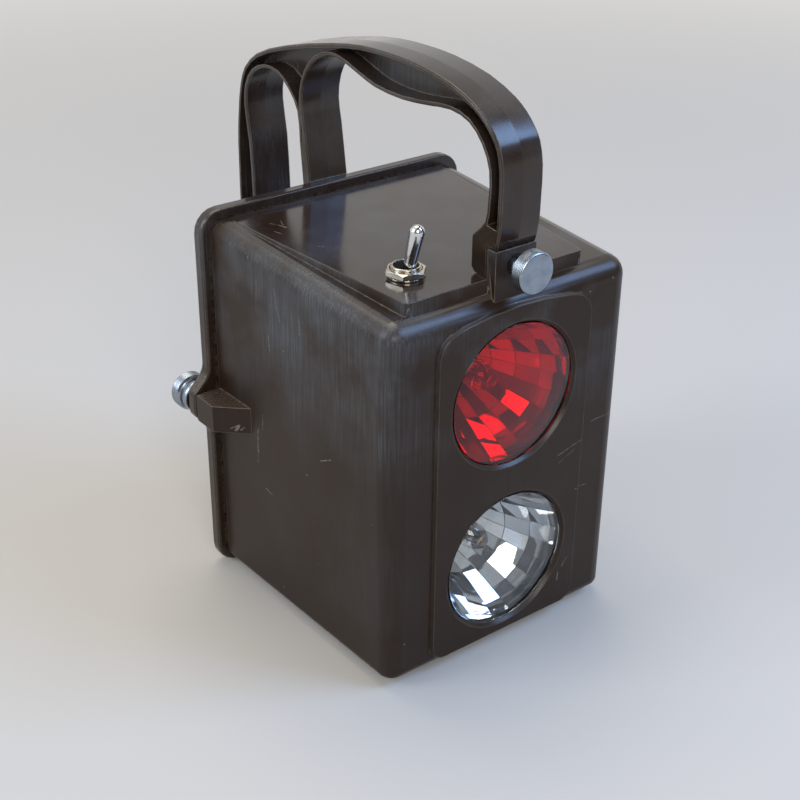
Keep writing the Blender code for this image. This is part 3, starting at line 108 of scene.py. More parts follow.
def startMaterial(name, settings):
    material = bpy.data.materials.new(name)
    material.use_nodes = True
    tree = material.node_tree
    shader = tree.nodes["Principled BSDF"]
    for setting, value in settings.items():
        shader.inputs[setting].default_value = value
    return material, tree, shader


# Moulded ABS of the case, lid and handle, injection moulded in polished steel.
# It gives the eye a deep brown gloss, dulled by dust and fine rubbing. A bluish sheen is painted on the upper
# walls, most on the left-facing ones, and a highlight is painted along the edges.

mouldedAbs = {
    "colour": "#24180f",
    "secondColour": "#2c1f17",  # slow change of tone between the thick and thin places
    "dustAndSheenColour": "#5f676f",  # dried dust and fine rubbing, with a bluish sheen of the sky painted over them
    "edgeWearAndHighlightColour": "#7a6e60",  # where handling has worn the gloss off the edges, and a highlight painted along them
    "creaseColour": "#5d5346",  # dust packed into the corners
    "scratchColour": "#8d867c",
    "ior": 1.54,
    "roughness": 0.06,
    "wallRoughness": 0.24,
    "sheen": 0.5,  # the full gloss of the polished roof
    "wallSheen": 0.2,  # rubbed walls send back less
    "toneSize": 70 * mm,
    "patchSize": 42 * mm,
    "streakWidth": 0.9 * mm,  # real ones are finer, drawn coarse enough to show
    "speckSize": 1.1 * mm,
    "markBreak": 1.6 * mm,  # length over which a scratch comes and goes
    "peelSize": 2.4 * mm,  # orange peel of the mould's polish
    "grainSize": 0.7 * mm,  # blasted grip on the lugs
    "edgeRadius": 0.6 * mm,
    "edgeWearAndHighlightSize": 6 * mm,
    "creaseReach": 2.5 * mm,
    "creaseDustSize": 3 * mm,
    "smearSize": 16 * mm,
    "dustAndSheenFrom": (90 * mm, 140 * mm),  # height over which the dust and the painted sheen set in
    "lugsBeyond": (61.5 * mm, 62.5 * mm),  # from the middle of the lantern
    "lugsBelow": (110 * mm, 105 * mm),
    "wander": 1.4 * mm,  # how far a scratch strays from straight
    "wanderSize": 7 * mm,
}

# The lid and its handle are wiped by every hand that carries the lantern
lidPolish = {
    "wallSheen": 0.42,
    "wallRoughness": 0.17,
    "strapHalf": 9.75 * mm,
    "strapDraft": 0.55 * mm,
}

# Each mark: its two ends and its width, all in millimetres
wallMarks = [
    ((-61.8, 1.3, 82.8), (-61.8, 2.6, 66.5), 0.3), ((-61.7, -2.1, 91.3), (-61.7, -2.1, 84.3), 0.22),
    ((-60.4, -42.6, 88.2), (-60.2, -48.8, 91.7), 0.3), ((-61.6, -2.9, 56.4), (-61.5, -7.6, 55.2), 0.28),
    ((-61.3, -13.9, 151.6), (-61.2, -17.1, 138.4), 0.22), ((-61.7, -1.8, 151.7), (-61.7, -0.8, 137.4), 0.18),
    ((-61.5, -8.6, 130), (-61.5, -9.2, 123.1), 0.24), ((-60.8, -30.1, 144.5), (-60.8, -30.2, 138.1), 0.2),
    ((-62.8, 32.3, 99.1), (-62.8, 31.8, 95.1), 0.26), ((-65, 12, 80.6), (-65, 9.8, 82.4), 0.4),
    ((-65, 10.6, 79.6), (-65, 9.9, 81.9), 0.55), ((-65, 9.2, 80.2), (-65, 8.4, 81.2), 0.35),
]
roofMarks = [
    ((-43.8, 15.1, 164.9), (-40.5, 7.9, 164.9), 0.32), ((-38.5, 15.0, 164.9), (-41.4, 8.2, 164.9), 0.24),
    ((-41.5, -15.8, 164.9), (-39.9, -17.6, 164.9), 0.34), ((-46.9, 7.1, 164.9), (-45.9, 2.7, 164.9), 0.2),
]
panelMarks = [
    ((43.8, -85.2, 90.8), (55, -85.2, 91.3), 0.2), ((24.6, -86.75, 82.1), (38.1, -86.75, 84.9), 0.22),
    ((25.6, -86.75, 78.2), (34.2, -86.75, 81.6), 0.16), ((36, -86.75, 62.1), (43.9, -85.2, 60.8), 0.2),
    ((29.1, -86.75, 19), (29.5, -86.75, 23.4), 0.3), ((31.5, -86.75, 25.1), (33.8, -86.75, 28.6), 0.3),
]


def addMarks(tree, place, marks, flattened):
    # How close each point lies to one of the straight marks, 1 on it and 0 off it.
    # The axis across the surface counts little, so a mark needn't lie exactly on it.
    scale = Vector(flattened)
    flat = addNode(tree, "VectorMath", {"operation": "MULTIPLY", 1: scale}, {0: place})
    strongest = None
    for start, end, width in marks:
        first = Vector(start) * mm * scale
        along = Vector(end) * mm * scale - first
        fromStart = addNode(tree, "VectorMath", {"operation": "SUBTRACT", 1: first}, {0: flat})
        share = addNode(tree, "VectorMath", {"operation": "DOT_PRODUCT", 1: along / along.length_squared},
                        {0: fromStart})
        kept = addNode(tree, "Math", {"operation": "MULTIPLY", "use_clamp": True, 1: 1.0},
                       {0: share.outputs["Value"]})  # stays between the two ends
        nearest = addNode(tree, "VectorMath", {"operation": "SCALE", 0: along}, {"Scale": kept})
        apart = addNode(tree, "VectorMath", {"operation": "DISTANCE"}, {0: fromStart, 1: nearest})
        mark = addNode(tree, "MapRange", {"From Min": width * mm, "From Max": width * mm * 0.3},
                       {"Value": apart.outputs["Value"]})
        strongest = mark if strongest is None else addNode(tree, "Math", {"operation": "MAXIMUM"},
                                                           {0: strongest, 1: mark})
    return strongest


def makeMouldedAbs(name, look, shift, dustAndSheenStrength, marked):
    material, tree, shader = startMaterial(name, {"IOR": look["ior"]})
    place = addNode(tree, "TexCoord").outputs["Object"]
    moved = addNode(tree, "Mapping", {"Location": shift}, {"Vector": place})
    normal = addNode(tree, "NewGeometry").outputs["Normal"]
    facing = addNode(tree, "SeparateXYZ", None, {0: normal})

    # Slow tone and the dusty patches, denser on the upper half and on the left wall. Over the dust lies a
    # painted bluish sheen, which makes the left-facing walls lighter.
    tone = addNode(tree, "TexNoise", {"Scale": 1 / look["toneSize"], "Detail": 3.0}, {"Vector": moved})
    patch = addNode(tree, "TexNoise", {"Scale": 1 / look["patchSize"], "Detail": 4.0, "Roughness": 0.6},
                    {"Vector": moved})
    patchMask = addNode(tree, "MapRange", {"From Min": 0.42, "From Max": 0.72}, {"Value": patch})
    where = addNode(tree, "SeparateXYZ", None, {0: place})
    low, high = look["dustAndSheenFrom"]
    upper = addNode(tree, "MapRange", {"From Min": low, "From Max": high, "To Min": 0.16},
                    {"Value": where.outputs["Z"]})
    # Painted sheen: walls that face left get the most of the lighter bluish haze
    sheenOnLeftWall = addNode(tree, "MapRange", {"From Min": 0.3, "From Max": -0.9, "To Min": 0.4},
                       {"Value": facing.outputs["X"]})

    # Upright rubbing streaks, where a cloth has gone up and down the walls
    thin = addNode(tree, "Mapping", {"Scale": (1, 1, 0.035)}, {"Vector": moved})
    streak = addNode(tree, "TexNoise", {"Scale": 1 / look["streakWidth"], "Detail": 2.0, "Roughness": 0.6},
                     {"Vector": thin})
    streakMask = addNode(tree, "MapRange", {"From Min": 0.42, "From Max": 0.78}, {"Value": streak})
    rubbed = addNode(tree, "Math", {"operation": "MULTIPLY_ADD", 1: 0.65, 2: 0.35}, {0: streakMask})
    dustAndSheen = addNode(tree, "Math", {"operation": "MULTIPLY", 1: dustAndSheenStrength}, {0: patchMask})
    for share in (upper, sheenOnLeftWall, rubbed):
        dustAndSheen = addNode(tree, "Math", {"operation": "MULTIPLY"}, {0: dustAndSheen, 1: share})

    # Small pale specks, few and far between
    speck = addNode(tree, "TexVoronoi", {"Scale": 1 / (look["speckSize"] * 9), "Randomness": 1.0},
                    {"Vector": moved})
    speckMask = addNode(tree, "MapRange", {"From Min": 0.05, "From Max": 0.015, "To Max": 0.6},
                        {"Value": speck.outputs["Distance"]})
    speckPlace = addNode(tree, "SeparateXYZ", None, {0: speck.outputs["Color"]})
    chosen = addNode(tree, "MapRange", {"From Min": 0.72, "From Max": 0.78},
                     {"Value": speckPlace.outputs["X"]})
    specks = addNode(tree, "Math", {"operation": "MULTIPLY"}, {0: speckMask, 1: chosen})

    # Edges: the rounded normal differs from the true one only beside an edge. Every edge is made lighter,
    # partly as wear and partly as a painted highlight.
    rounded = addNode(tree, "Bevel", {"samples": 8, "Radius": look["edgeRadius"]})
    alike = addNode(tree, "VectorMath", {"operation": "DOT_PRODUCT"}, {0: rounded, 1: normal})
    beside = addNode(tree, "MapRange", {"From Min": 0.995, "From Max": 0.87},
                     {"Value": alike.outputs["Value"]})
    wearAndHighlightCloud = addNode(tree, "TexNoise", {"Scale": 1 / look["edgeWearAndHighlightSize"], "Detail": 4.0, "Roughness": 0.7},
                      {"Vector": moved})
    wearAndHighlightShare = addNode(tree, "MapRange", {"From Min": 0.35, "From Max": 0.65, "To Min": 0.3},
                          {"Value": wearAndHighlightCloud})
    edge = addNode(tree, "Math", {"operation": "MULTIPLY"}, {0: beside, 1: wearAndHighlightShare})

    # Corners that a cloth doesn't reach keep their dust
    hidden = addNode(tree, "AmbientOcclusion", {"samples": 5, "Distance": look["creaseReach"]})
    crease = addNode(tree, "MapRange", {"From Min": 0.72, "From Max": 0.4}, {"Value": hidden.outputs["AO"]})
    packed = addNode(tree, "TexNoise", {"Scale": 1 / look["creaseDustSize"], "Detail": 3.0, "Roughness": 0.7},
                     {"Vector": moved})
    packedMask = addNode(tree, "MapRange", {"From Min": 0.4, "From Max": 0.62}, {"Value": packed})
    upward = addNode(tree, "MapRange", {"From Min": -0.3, "From Max": 0.5, "To Min": 0.2},
                     {"Value": facing.outputs["Z"]})
    for share in (packedMask, upward):
        crease = addNode(tree, "Math", {"operation": "MULTIPLY"}, {0: crease, 1: share})

    # Tops of the side lugs, blasted for grip and holding dust between the grains
    aside = addNode(tree, "Math", {"operation": "ABSOLUTE"}, {0: where.outputs["X"]})
    near, far = look["lugsBeyond"]
    onLug = addNode(tree, "MapRange", {"From Min": near, "From Max": far}, {"Value": aside})
    topSide = addNode(tree, "MapRange", {"From Min": 0.3, "From Max": 0.6}, {"Value": facing.outputs["Z"]})
    high, low = look["lugsBelow"]
    below = addNode(tree, "MapRange", {"From Min": high, "From Max": low}, {"Value": where.outputs["Z"]})
    lugTop = onLug
    for share in (topSide, below):
        lugTop = addNode(tree, "Math", {"operation": "MULTIPLY"}, {0: lugTop, 1: share})
    grain = addNode(tree, "TexNoise", {"Scale": 1 / look["grainSize"], "Detail": 2.0, "Roughness": 0.7},
                    {"Vector": place})
    powder = addNode(tree, "MapRange", {"From Min": 0.4, "From Max": 0.62, "To Min": 0.12, "To Max": 0.75},
                     {"Value": grain})
    powder = addNode(tree, "Math", {"operation": "MULTIPLY"}, {0: powder, 1: lugTop})
    grain = addNode(tree, "Math", {"operation": "MULTIPLY"}, {0: grain, 1: lugTop})

    # Scratches and chips of this lantern, bent a little and broken along their length
    scratched = specks
    if marked:
        stray = look["wander"]
        wander = addNode(tree, "TexNoise", {"Scale": 1 / look["wanderSize"], "Detail": 1.0},
                         {"Vector": place})
        bent = addNode(tree, "VectorMath", {"operation": "MULTIPLY_ADD", 1: (stray, stray, stray)},
                       {0: wander.outputs["Color"], 2: place})
        bent = addNode(tree, "VectorMath", {"operation": "SUBTRACT", 1: (stray / 2, stray / 2, stray / 2)},
                       {0: bent})
        chance = addNode(tree, "TexNoise", {"Scale": 1 / look["markBreak"], "Detail": 2.0, "Roughness": 0.7},
                         {"Vector": place})
        broken = addNode(tree, "MapRange", {"From Min": 0.38, "From Max": 0.58, "To Min": 0.1, "To Max": 0.7},
                         {"Value": chance})
        surfaces = ((wallMarks, (0.06, 1, 1)), (panelMarks, (1, 0.06, 1)), (roofMarks, (1, 1, 0.06)))
        for marks, flattened in surfaces:
            found = addMarks(tree, bent, marks, flattened)
            found = addNode(tree, "Math", {"operation": "MULTIPLY"}, {0: found, 1: broken})
            scratched = addNode(tree, "Math", {"operation": "MAXIMUM"}, {0: scratched, 1: found})

    # Each layer of dirt, wear, painted sheen and painted edge highlight lies over the ones before it
    colour = addNode(tree, "Mix", {"data_type": "RGBA", 6: toLinear(look["colour"]),
                                   7: toLinear(look["secondColour"])}, {0: tone})
    for layer, share in (("dustAndSheenColour", dustAndSheen), ("creaseColour", powder), ("creaseColour", crease),
                         ("edgeWearAndHighlightColour", edge), ("scratchColour", scratched)):
        colour = addNode(tree, "Mix", {"data_type": "RGBA", 7: toLinear(look[layer])}, {0: share, 6: colour})
    tree.links.new(colour.outputs[2], shader.inputs["Base Color"])

    # The roof stays glossy and the walls are duller. A rounded edge shines more the more it faces up.
    flatTop = addNode(tree, "MapRange", {"From Min": 0.9, "From Max": 0.99, "To Min": look["wallRoughness"],
                                         "To Max": look["roughness"]}, {"Value": facing.outputs["Z"]})
    sheen = addNode(tree, "MapRange", {"From Min": 0.3, "From Max": 0.99, "To Min": look["wallSheen"],
                                       "To Max": look["sheen"]}, {"Value": facing.outputs["Z"]})
    tree.links.new(sheen.outputs[0], shader.inputs["Specular IOR Level"])
    smear = addNode(tree, "TexNoise", {"Scale": 1 / look["smearSize"], "Detail": 5.0, "Roughness": 0.65},
                    {"Vector": moved})
    rough = addNode(tree, "Math", {"operation": "MULTIPLY_ADD", 1: 0.14}, {0: smear, 2: flatTop})
    rough = addNode(tree, "Math", {"operation": "MULTIPLY_ADD", 1: 0.3}, {0: dustAndSheen, 2: rough})
    dull = addNode(tree, "Math", {"operation": "MAXIMUM"}, {0: crease, 1: edge})
    rough = addNode(tree, "Math", {"operation": "MULTIPLY_ADD", 1: 0.25}, {0: dull, 2: rough})
    tree.links.new(rough.outputs[0], shader.inputs["Roughness"])

    # Orange peel everywhere, blasted grain on top of the side lugs, and the cut of the marks
    peel = addNode(tree, "TexNoise", {"Scale": 1 / look["peelSize"], "Detail": 1.0}, {"Vector": moved})
    surface = addNode(tree, "Bump", {"Strength": 0.04, "Distance": 0.2 * mm},
                      {"Height": peel, "Normal": rounded})
    surface = addNode(tree, "Bump", {"Strength": 0.9, "Distance": 0.35 * mm},
                      {"Height": grain, "Normal": surface})
    surface = addNode(tree, "Bump", {"Strength": 0.3, "Distance": 0.12 * mm, "invert": True},
                      {"Height": scratched, "Normal": surface})

    # The handle's mould parts along the middle of its straps, and they fall away from there to both sides
    if "strapDraft" in look:
        ridge = addNode(tree, "MapRange", {"From Min": look["strapHalf"], "From Max": 0.0}, {"Value": aside})
        surface = addNode(tree, "Bump", {"Strength": 1.0, "Distance": look["strapDraft"]},
                          {"Height": ridge, "Normal": surface})
    tree.links.new(surface.outputs[0], shader.inputs["Normal"])
    return material


def addTones(tree, look, place, size, detail, start, end):
    # Clouds that carry the first tone of a material over into the second
    cloud = addNode(tree, "TexNoise", {"Scale": 1 / size, "Detail": detail, "Roughness": 0.65},
                    {"Vector": place})
    share = addNode(tree, "MapRange", {"From Min": start, "From Max": end}, {"Value": cloud})
    colour = addNode(tree, "Mix", {"data_type": "RGBA", 6: toLinear(look["colour"]),
                                   7: toLinear(look["second"])}, {0: share})
    return cloud, share, colour


# Metals. Each has two tones of the same metal, a roughness that wanders and a fine surface.

nickelPlatedBrass = {  # rolled on the threads and stamped on the nuts: a warm pale gloss
    "colour": "#cfcac0", "second": "#a39c8e", "size": 5 * mm, "roughness": 0.14, "spread": 0.1,
    "bump": 0.03, "bumpSize": 1.6 * mm, "edgeRadius": 0.25 * mm}
chromePlatedSteel = {  # turned, polished and plated: a cold mirror with a few wipe marks
    "colour": "#dcdee0", "second": "#c2c4c7", "size": 9 * mm, "roughness": 0.06, "spread": 0.1,
    "bump": 0.015, "bumpSize": 2.5 * mm}
silveredPlastic = {  # vapour-silvered moulding: each facet a flat mirror, very slightly wavy
    "colour": "#eef1f4", "second": "#dde1e6", "size": 12 * mm, "roughness": 0.01, "spread": 0.04,
    "bump": 0.05, "bumpSize": 8 * mm, "seamColour": "#4d5359"}  # thin silver in the corners between facets
rolledBrass = {  # spring strip, dulled by the air
    "colour": "#c39f5a", "second": "#8a6a38", "size": 3 * mm, "roughness": 0.24, "spread": 0.2,
    "bump": 0.04, "bumpSize": 1.2 * mm, "edgeRadius": 0.1 * mm}
zincPlatedSteel = {  # pressed and barrel plated: grey with a soft bloom
    "colour": "#a9acae", "second": "#868988", "size": 5 * mm, "roughness": 0.32, "spread": 0.2,
    "bump": 0.05, "bumpSize": 1.2 * mm, "edgeRadius": 0.15 * mm}
tungstenWire = {  # drawn and coiled
    "colour": "#8b8a88", "second": "#6d6c6b", "size": 0.5 * mm, "roughness": 0.35, "spread": 0.1,
    "bump": 0.1, "bumpSize": 0.1 * mm}


def makePlatedMetal(name, look):
    material, tree, shader = startMaterial(name, {"Metallic": 1.0})
    place = addNode(tree, "TexCoord").outputs["Object"]
    _, _, colour = addTones(tree, look, place, look["size"], 4.0, 0.42, 0.75)
    if "seamColour" in look:
        silvering = addNode(tree, "Attribute", {"attribute_name": "facetTone"})
        colour = addNode(tree, "Mix", {"data_type": "RGBA", 6: toLinear(look["seamColour"])},
                         {0: silvering.outputs["Fac"], 7: colour})
    tree.links.new(colour.outputs[2], shader.inputs["Base Color"])
    wiped = addNode(tree, "TexNoise", {"Scale": 3 / look["size"], "Detail": 3.0}, {"Vector": place})
    rough = addNode(tree, "MapRange", {"From Min": 0.3, "From Max": 0.7, "To Min": look["roughness"],
                                       "To Max": look["roughness"] + look["spread"]}, {"Value": wiped})
    tree.links.new(rough.outputs[0], shader.inputs["Roughness"])
    wave = addNode(tree, "TexNoise", {"Scale": 1 / look["bumpSize"], "Detail": 2.0}, {"Vector": place})
    surface = addNode(tree, "Bump", {"Strength": look["bump"], "Distance": 0.1 * mm}, {"Height": wave})
    if "edgeRadius" in look:
        rounded = addNode(tree, "Bevel", {"samples": 6, "Radius": look["edgeRadius"]})
        tree.links.new(rounded.outputs[0], surface.inputs["Normal"])
    tree.links.new(surface.outputs[0], shader.inputs["Normal"])
    return material


# Turned aluminium of the thumb screws, faced in a lathe and left bare.
# The tool's rings stretch each highlight across them into a bow tie.

turnedAluminium = {
    "colour": "#9aa3ae",
    "second": "#828d99",
    "roughness": 0.21,
    "anisotropy": 0.7,
    "ringPitch": 0.8 * mm,  # a real feed is nearer 0.1 mm, drawn coarse enough to show
    "ringBump": 0.16,
    "oxideSize": 5 * mm,
}


def makeTurnedAluminium(look):
    material, tree, shader = startMaterial("turnedAluminium",
                                           {"Metallic": 1.0, "Anisotropic": look["anisotropy"]})
    place = addNode(tree, "TexCoord").outputs["Object"]
    across = addNode(tree, "VectorMath", {"operation": "MULTIPLY", 1: (1, 1, 0)}, {0: place})
    radius = addNode(tree, "VectorMath", {"operation": "LENGTH"}, {0: across})
    phase = addNode(tree, "Math", {"operation": "MULTIPLY", 1: math.tau / look["ringPitch"]},
                    {0: radius.outputs["Value"]})
    rings = addNode(tree, "Math", {"operation": "SINE"}, {0: phase})
    _, grey, colour = addTones(tree, look, place, look["oxideSize"], 4.0, 0.4, 0.72)
    tree.links.new(colour.outputs[2], shader.inputs["Base Color"])
    rough = addNode(tree, "MapRange", {"To Min": look["roughness"], "To Max": look["roughness"] + 0.1},
                    {"Value": grey})
    tree.links.new(rough.outputs[0], shader.inputs["Roughness"])
    around = addNode(tree, "Tangent", {"direction_type": "RADIAL", "axis": "Z"})
    tree.links.new(around.outputs[0], shader.inputs["Tangent"])
    surface = addNode(tree, "Bump", {"Strength": look["ringBump"], "Distance": 0.05 * mm}, {"Height": rings})
    tree.links.new(surface.outputs[0], shader.inputs["Normal"])
    return material


# Cast acrylic of the lenses and blown glass of the bulbs: clear depth, and wipe marks on top

lensAndGlass = {
    "clear": {"colour": "#fbfdfd", "ior": 1.49, "wipe": 0.05},
    "red": {"colour": "#f41a3a", "ior": 1.49, "wipe": 0.05},  # darker than this, as light crosses it twice
    "bulb": {"colour": "#ffffff", "ior": 1.5, "wipe": 0.0},
}
filmSize = 6 * mm  # of the wipe marks
lensWaveSize = 14 * mm  # the casting is never quite flat


def makeLensMaterial(name, look):
    material, tree, shader = startMaterial(name, {"IOR": look["ior"], "Transmission Weight": 1.0,
                                                  "Base Color": toLinear(look["colour"])})
    place = addNode(tree, "TexCoord").outputs["Object"]
    wave = addNode(tree, "TexNoise", {"Scale": 1 / lensWaveSize, "Detail": 1.0}, {"Vector": place})
    surface = addNode(tree, "Bump", {"Strength": 0.03, "Distance": 0.1 * mm}, {"Height": wave})
    tree.links.new(surface.outputs[0], shader.inputs["Normal"])
    turned = addNode(tree, "Mapping", {"Scale": (1, 1, 0.35), "Rotation": (0, 0.6, 0)}, {"Vector": place})
    film = addNode(tree, "TexNoise", {"Scale": 1 / filmSize, "Detail": 5.0, "Roughness": 0.65},
                   {"Vector": turned})
    rough = addNode(tree, "MapRange", {"From Min": 0.55, "From Max": 0.8, "To Max": look["wipe"]},
                    {"Value": film})
    tree.links.new(rough.outputs[0], shader.inputs["Roughness"])
    return material


# Rubber, foam, phenolic, board, card and wire covering

compounds = {
    # name: two tones, grain in millimetres, roughness, depth of the grain
    "mouldedRubber": ("#161616", "#252423", 0.8, 0.72, 0.3),  # flat black with a faint bloom
    "foamRubber": ("#19191a", "#2d2d2e", 0.6, 0.9, 1.0),  # open cells that swallow the light
    "mouldedPhenolic": ("#171615", "#26231f", 2.5, 0.36, 0.1),  # black with a dull gloss
    "paperLaminate": ("#6b4426", "#54341b", 1.2, 0.5, 0.2),  # brown sheet, mottled by its fibres
    "varnishedCard": ("#2c394d", "#36465e", 3.0, 0.42, 0.15),  # blue print under thin varnish
    "redWireCovering": ("#7d1c1b", "#8f2a26", 2.0, 0.4, 0.1),  # soft plastic, a low even shine
    "greyWireCovering": ("#8d8b85", "#7b7973", 2.0, 0.4, 0.1),
}


def makeCompound(name):
    first, second, grainSize, roughness, bump = compounds[name]
    material, tree, shader = startMaterial(name, {"IOR": 1.5})
    place = addNode(tree, "TexCoord").outputs["Object"]
    grain, _, colour = addTones(tree, {"colour": first, "second": second}, place, grainSize * mm, 5.0,
                                0.32, 0.68)
    tree.links.new(colour.outputs[2], shader.inputs["Base Color"])
    rough = addNode(tree, "MapRange", {"To Min": roughness - 0.06, "To Max": roughness + 0.08},
                    {"Value": grain})
    tree.links.new(rough.outputs[0], shader.inputs["Roughness"])
    rounded = addNode(tree, "Bevel", {"samples": 4, "Radius": 0.2 * mm})
    surface = addNode(tree, "Bump", {"Strength": bump, "Distance": 0.15 * mm},
                      {"Height": grain, "Normal": rounded})
    tree.links.new(surface.outputs[0], shader.inputs["Normal"])
    return material


def makeMaterials():
    finishes = {
        "case": makeMouldedAbs("mouldedAbsCase", mouldedAbs, (0, 0, 0), 1.0, True),
        "lid": makeMouldedAbs("mouldedAbsLid", mouldedAbs | lidPolish, (0.31, 0.17, 0.05), 0.6, False),
        "aluminium": makeTurnedAluminium(turnedAluminium),
        "nickel": makePlatedMetal("nickelPlatedBrass", nickelPlatedBrass),
        "chrome": makePlatedMetal("chromePlatedSteel", chromePlatedSteel),
        "silver": makePlatedMetal("silveredPlastic", silveredPlastic),
        "brass": makePlatedMetal("rolledBrass", rolledBrass),
        "zinc": makePlatedMetal("zincPlatedSteel", zincPlatedSteel),
        "tungsten": makePlatedMetal("tungstenWire", tungstenWire),
        "clearLens": makeLensMaterial("castClearAcrylic", lensAndGlass["clear"]),
        "redLens": makeLensMaterial("castRedAcrylic", lensAndGlass["red"]),
        "bulbGlass": makeLensMaterial("blownBulbGlass", lensAndGlass["bulb"]),
        "rubber": makeCompound("mouldedRubber"),
        "foam": makeCompound("foamRubber"),
        "phenolic": makeCompound("mouldedPhenolic"),
        "board": makeCompound("paperLaminate"),
        "card": makeCompound("varnishedCard"),
        "redWire": makeCompound("redWireCovering"),
        "greyWire": makeCompound("greyWireCovering"),
    }
    print("materials made:", len(finishes))
    return finishes


carriedOver = {
    "foam": ["battery_pad"],
    "phenolic": ["switch_body"],
    "board": ["terminal_board"],
    "zinc": ["reflector_clamp", "clamp_screw_1", "clamp_screw_2", "clamp_screw_3", "clamp_screw_4"],
    "brass": ["lamp_contact_strip", "positive_contact", "negative_contact",
              "front_insert", "left_insert", "right_insert"],
    "nickel": ["positive_battery_terminal", "negative_battery_terminal", "switch_back_nut",
               "front_switch_tag", "middle_switch_tag", "rear_switch_tag"],
}


def finishCarriedOver(finishes):
    count = 0
    for finishName, nodeNames in carriedOver.items():
        for nodeName in nodeNames:
            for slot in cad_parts[nodeName].material_slots:
                slot.material = finishes[finishName]
            count += 1
    print("carried-over nodes finished:", count)


# Smooth copies of the pieces whose curves the solids draw in flats

smoothCopies = {
    # node: body, finish, steepest angle that is still one curve
    "rear_lid": ("lid", "lid", 26),
    "lid_seal": ("lid", "rubber", 40),
    "switch_lever": ("lever", "chrome", 40),
    "switch_nut": ("case", "nickel", 30),
    "switch_washer": ("case", "nickel", 30),
    "clear_lens_gasket": ("case", "rubber", 30),
    "red_lens_gasket": ("case", "rubber", 30),
    "clear_bulb_cap": ("case", "brass", 35),
    "red_bulb_cap": ("case", "brass", 35),
    "clear_bulb_holder": ("case", "phenolic", 35),
    "red_bulb_holder": ("case", "phenolic", 35),
    "battery": ("case", "card", 35),
    "red_lamp_wire": ("case", "redWire", 60),
    "positive_wire": ("case", "redWire", 60),
    "clear_lamp_wire": ("case", "greyWire", 60),
    "negative_wire": ("case", "phenolic", 60),  # black covering
}
washerTrim = 0.86  # of the washer's width, no wider than the nut that hides it


def smoothMesh(nodeName, angle):
    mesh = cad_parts[nodeName].data.copy()
    mesh.materials.clear()
    shape = bmesh.new()
    shape.from_mesh(mesh)
    bmesh.ops.remove_doubles(shape, verts=shape.verts, dist=0.002 * mm)
    bmesh.ops.dissolve_limit(shape, angle_limit=math.radians(0.2), verts=shape.verts, edges=shape.edges)
    shape.to_mesh(mesh)
    shape.free()
    shadeSmooth(mesh, angle)
    return mesh


def evenNormals(piece):
    # Big flats keep their own direction, and the bends beside them take the blend
    weighted = piece.modifiers.new("evenNormals", "WEIGHTED_NORMAL")
    weighted.keep_sharp = True
    weighted.weight = 80


def makeSmoothCopies(finishes):
    for nodeName, (body, finishName, angle) in smoothCopies.items():
        mesh = smoothMesh(nodeName, angle)
        if nodeName == "switch_washer":
            low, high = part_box(nodeName)
            axis = Vector(((low[0] + high[0]) / 2, (low[1] + high[1]) / 2, 0))
            mesh.transform(Matrix.Translation(axis) @ Matrix.Diagonal((washerTrim, washerTrim, 1, 1))
                           @ Matrix.Translation(-axis))
        piece = placePiece("smooth_" + nodeName, mesh, finishes[finishName], Matrix(), body,
                           [nodeName])
        evenNormals(piece)
    print("smooth copies made:", len(smoothCopies))


# Case: the moulding with a chamfered lip cut round each lens

caseMoulding = {
    "curveAngle": 26,
    "frontFace": -86.75 * mm,
    "lensHole": 30.0 * mm,
    "lip": 1.3 * mm,
    "lipSteps": 96,
    "lipOverrun": 0.5 * mm,
}


def makeCase(finishes):
    look = caseMoulding
    piece = placePiece("moulded_case", smoothMesh("case", look["curveAngle"]), finishes["case"], Matrix(),
                       "case", ["case"])
    over = look["lipOverrun"]
    wide = look["lensHole"] + look["lip"] + over
    narrow = look["lensHole"] - over
    deep = look["lip"] + over
    outline = [(0, -over), (wide, -over), (narrow, deep), (0, deep)]
    cutters = []
    for lens in ("clear_lens", "red_lens"):
        cutter = putInScene("lipCutter", turnedMesh("lipCutter", outline, look["lipSteps"]))
        low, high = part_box(lens)
        cutter.matrix_world = alongLamp(low, high, look["frontFace"])
        cut = piece.modifiers.new("lip", "BOOLEAN")
        cut.operation = "DIFFERENCE"
        cut.solver = "EXACT"
        cut.object = cutter
        cutters.append(cutter)
    bpy.context.view_layer.update()
    finished = piece.evaluated_get(bpy.context.evaluated_depsgraph_get())
    lipped = bpy.data.meshes.new_from_object(finished)
    piece.modifiers.clear()
    piece.data = lipped
    for cutter in cutters:
        bpy.data.objects.remove(cutter)
    shadeSmooth(lipped, look["curveAngle"])
    evenNormals(piece)
    print("case lips cut:", len(cutters))


# Lenses: cast discs with a raised front that fills the hole almost to the panel

castLens = {
    "frontBehindPanel": 1.15 * mm,
    "spigotRadius": 29.6 * mm,
    "edgeRound": 0.35 * mm,
    "steps": 96,
}


def makeLens(colour, finishes):
    look = castLens
    nodeName = colour + "_lens"
    low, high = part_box(nodeName)
    radius = (high[0] - low[0]) / 2
    thickness = high[1] - low[1]
    raised = low[1] - caseMoulding["frontFace"] - look["frontBehindPanel"]
    spigot = look["spigotRadius"]
    edge = look["edgeRound"]
    profile = [(0, -raised), (spigot - edge, -raised), (spigot - edge * 0.3, edge * 0.3 - raised),
               (spigot, edge - raised), (spigot, 0), (radius, 0), (radius, thickness), (0, thickness)]
    mesh = turnedMesh("cast_" + nodeName, profile, look["steps"])
    shadeSmooth(mesh, 50)
    placePiece("cast_" + nodeName, mesh, finishes[colour + "Lens"], alongLamp(low, high, low[1]), "case",
               [nodeName])


# Turned pieces: a profile of (radius, height) spun round local Z

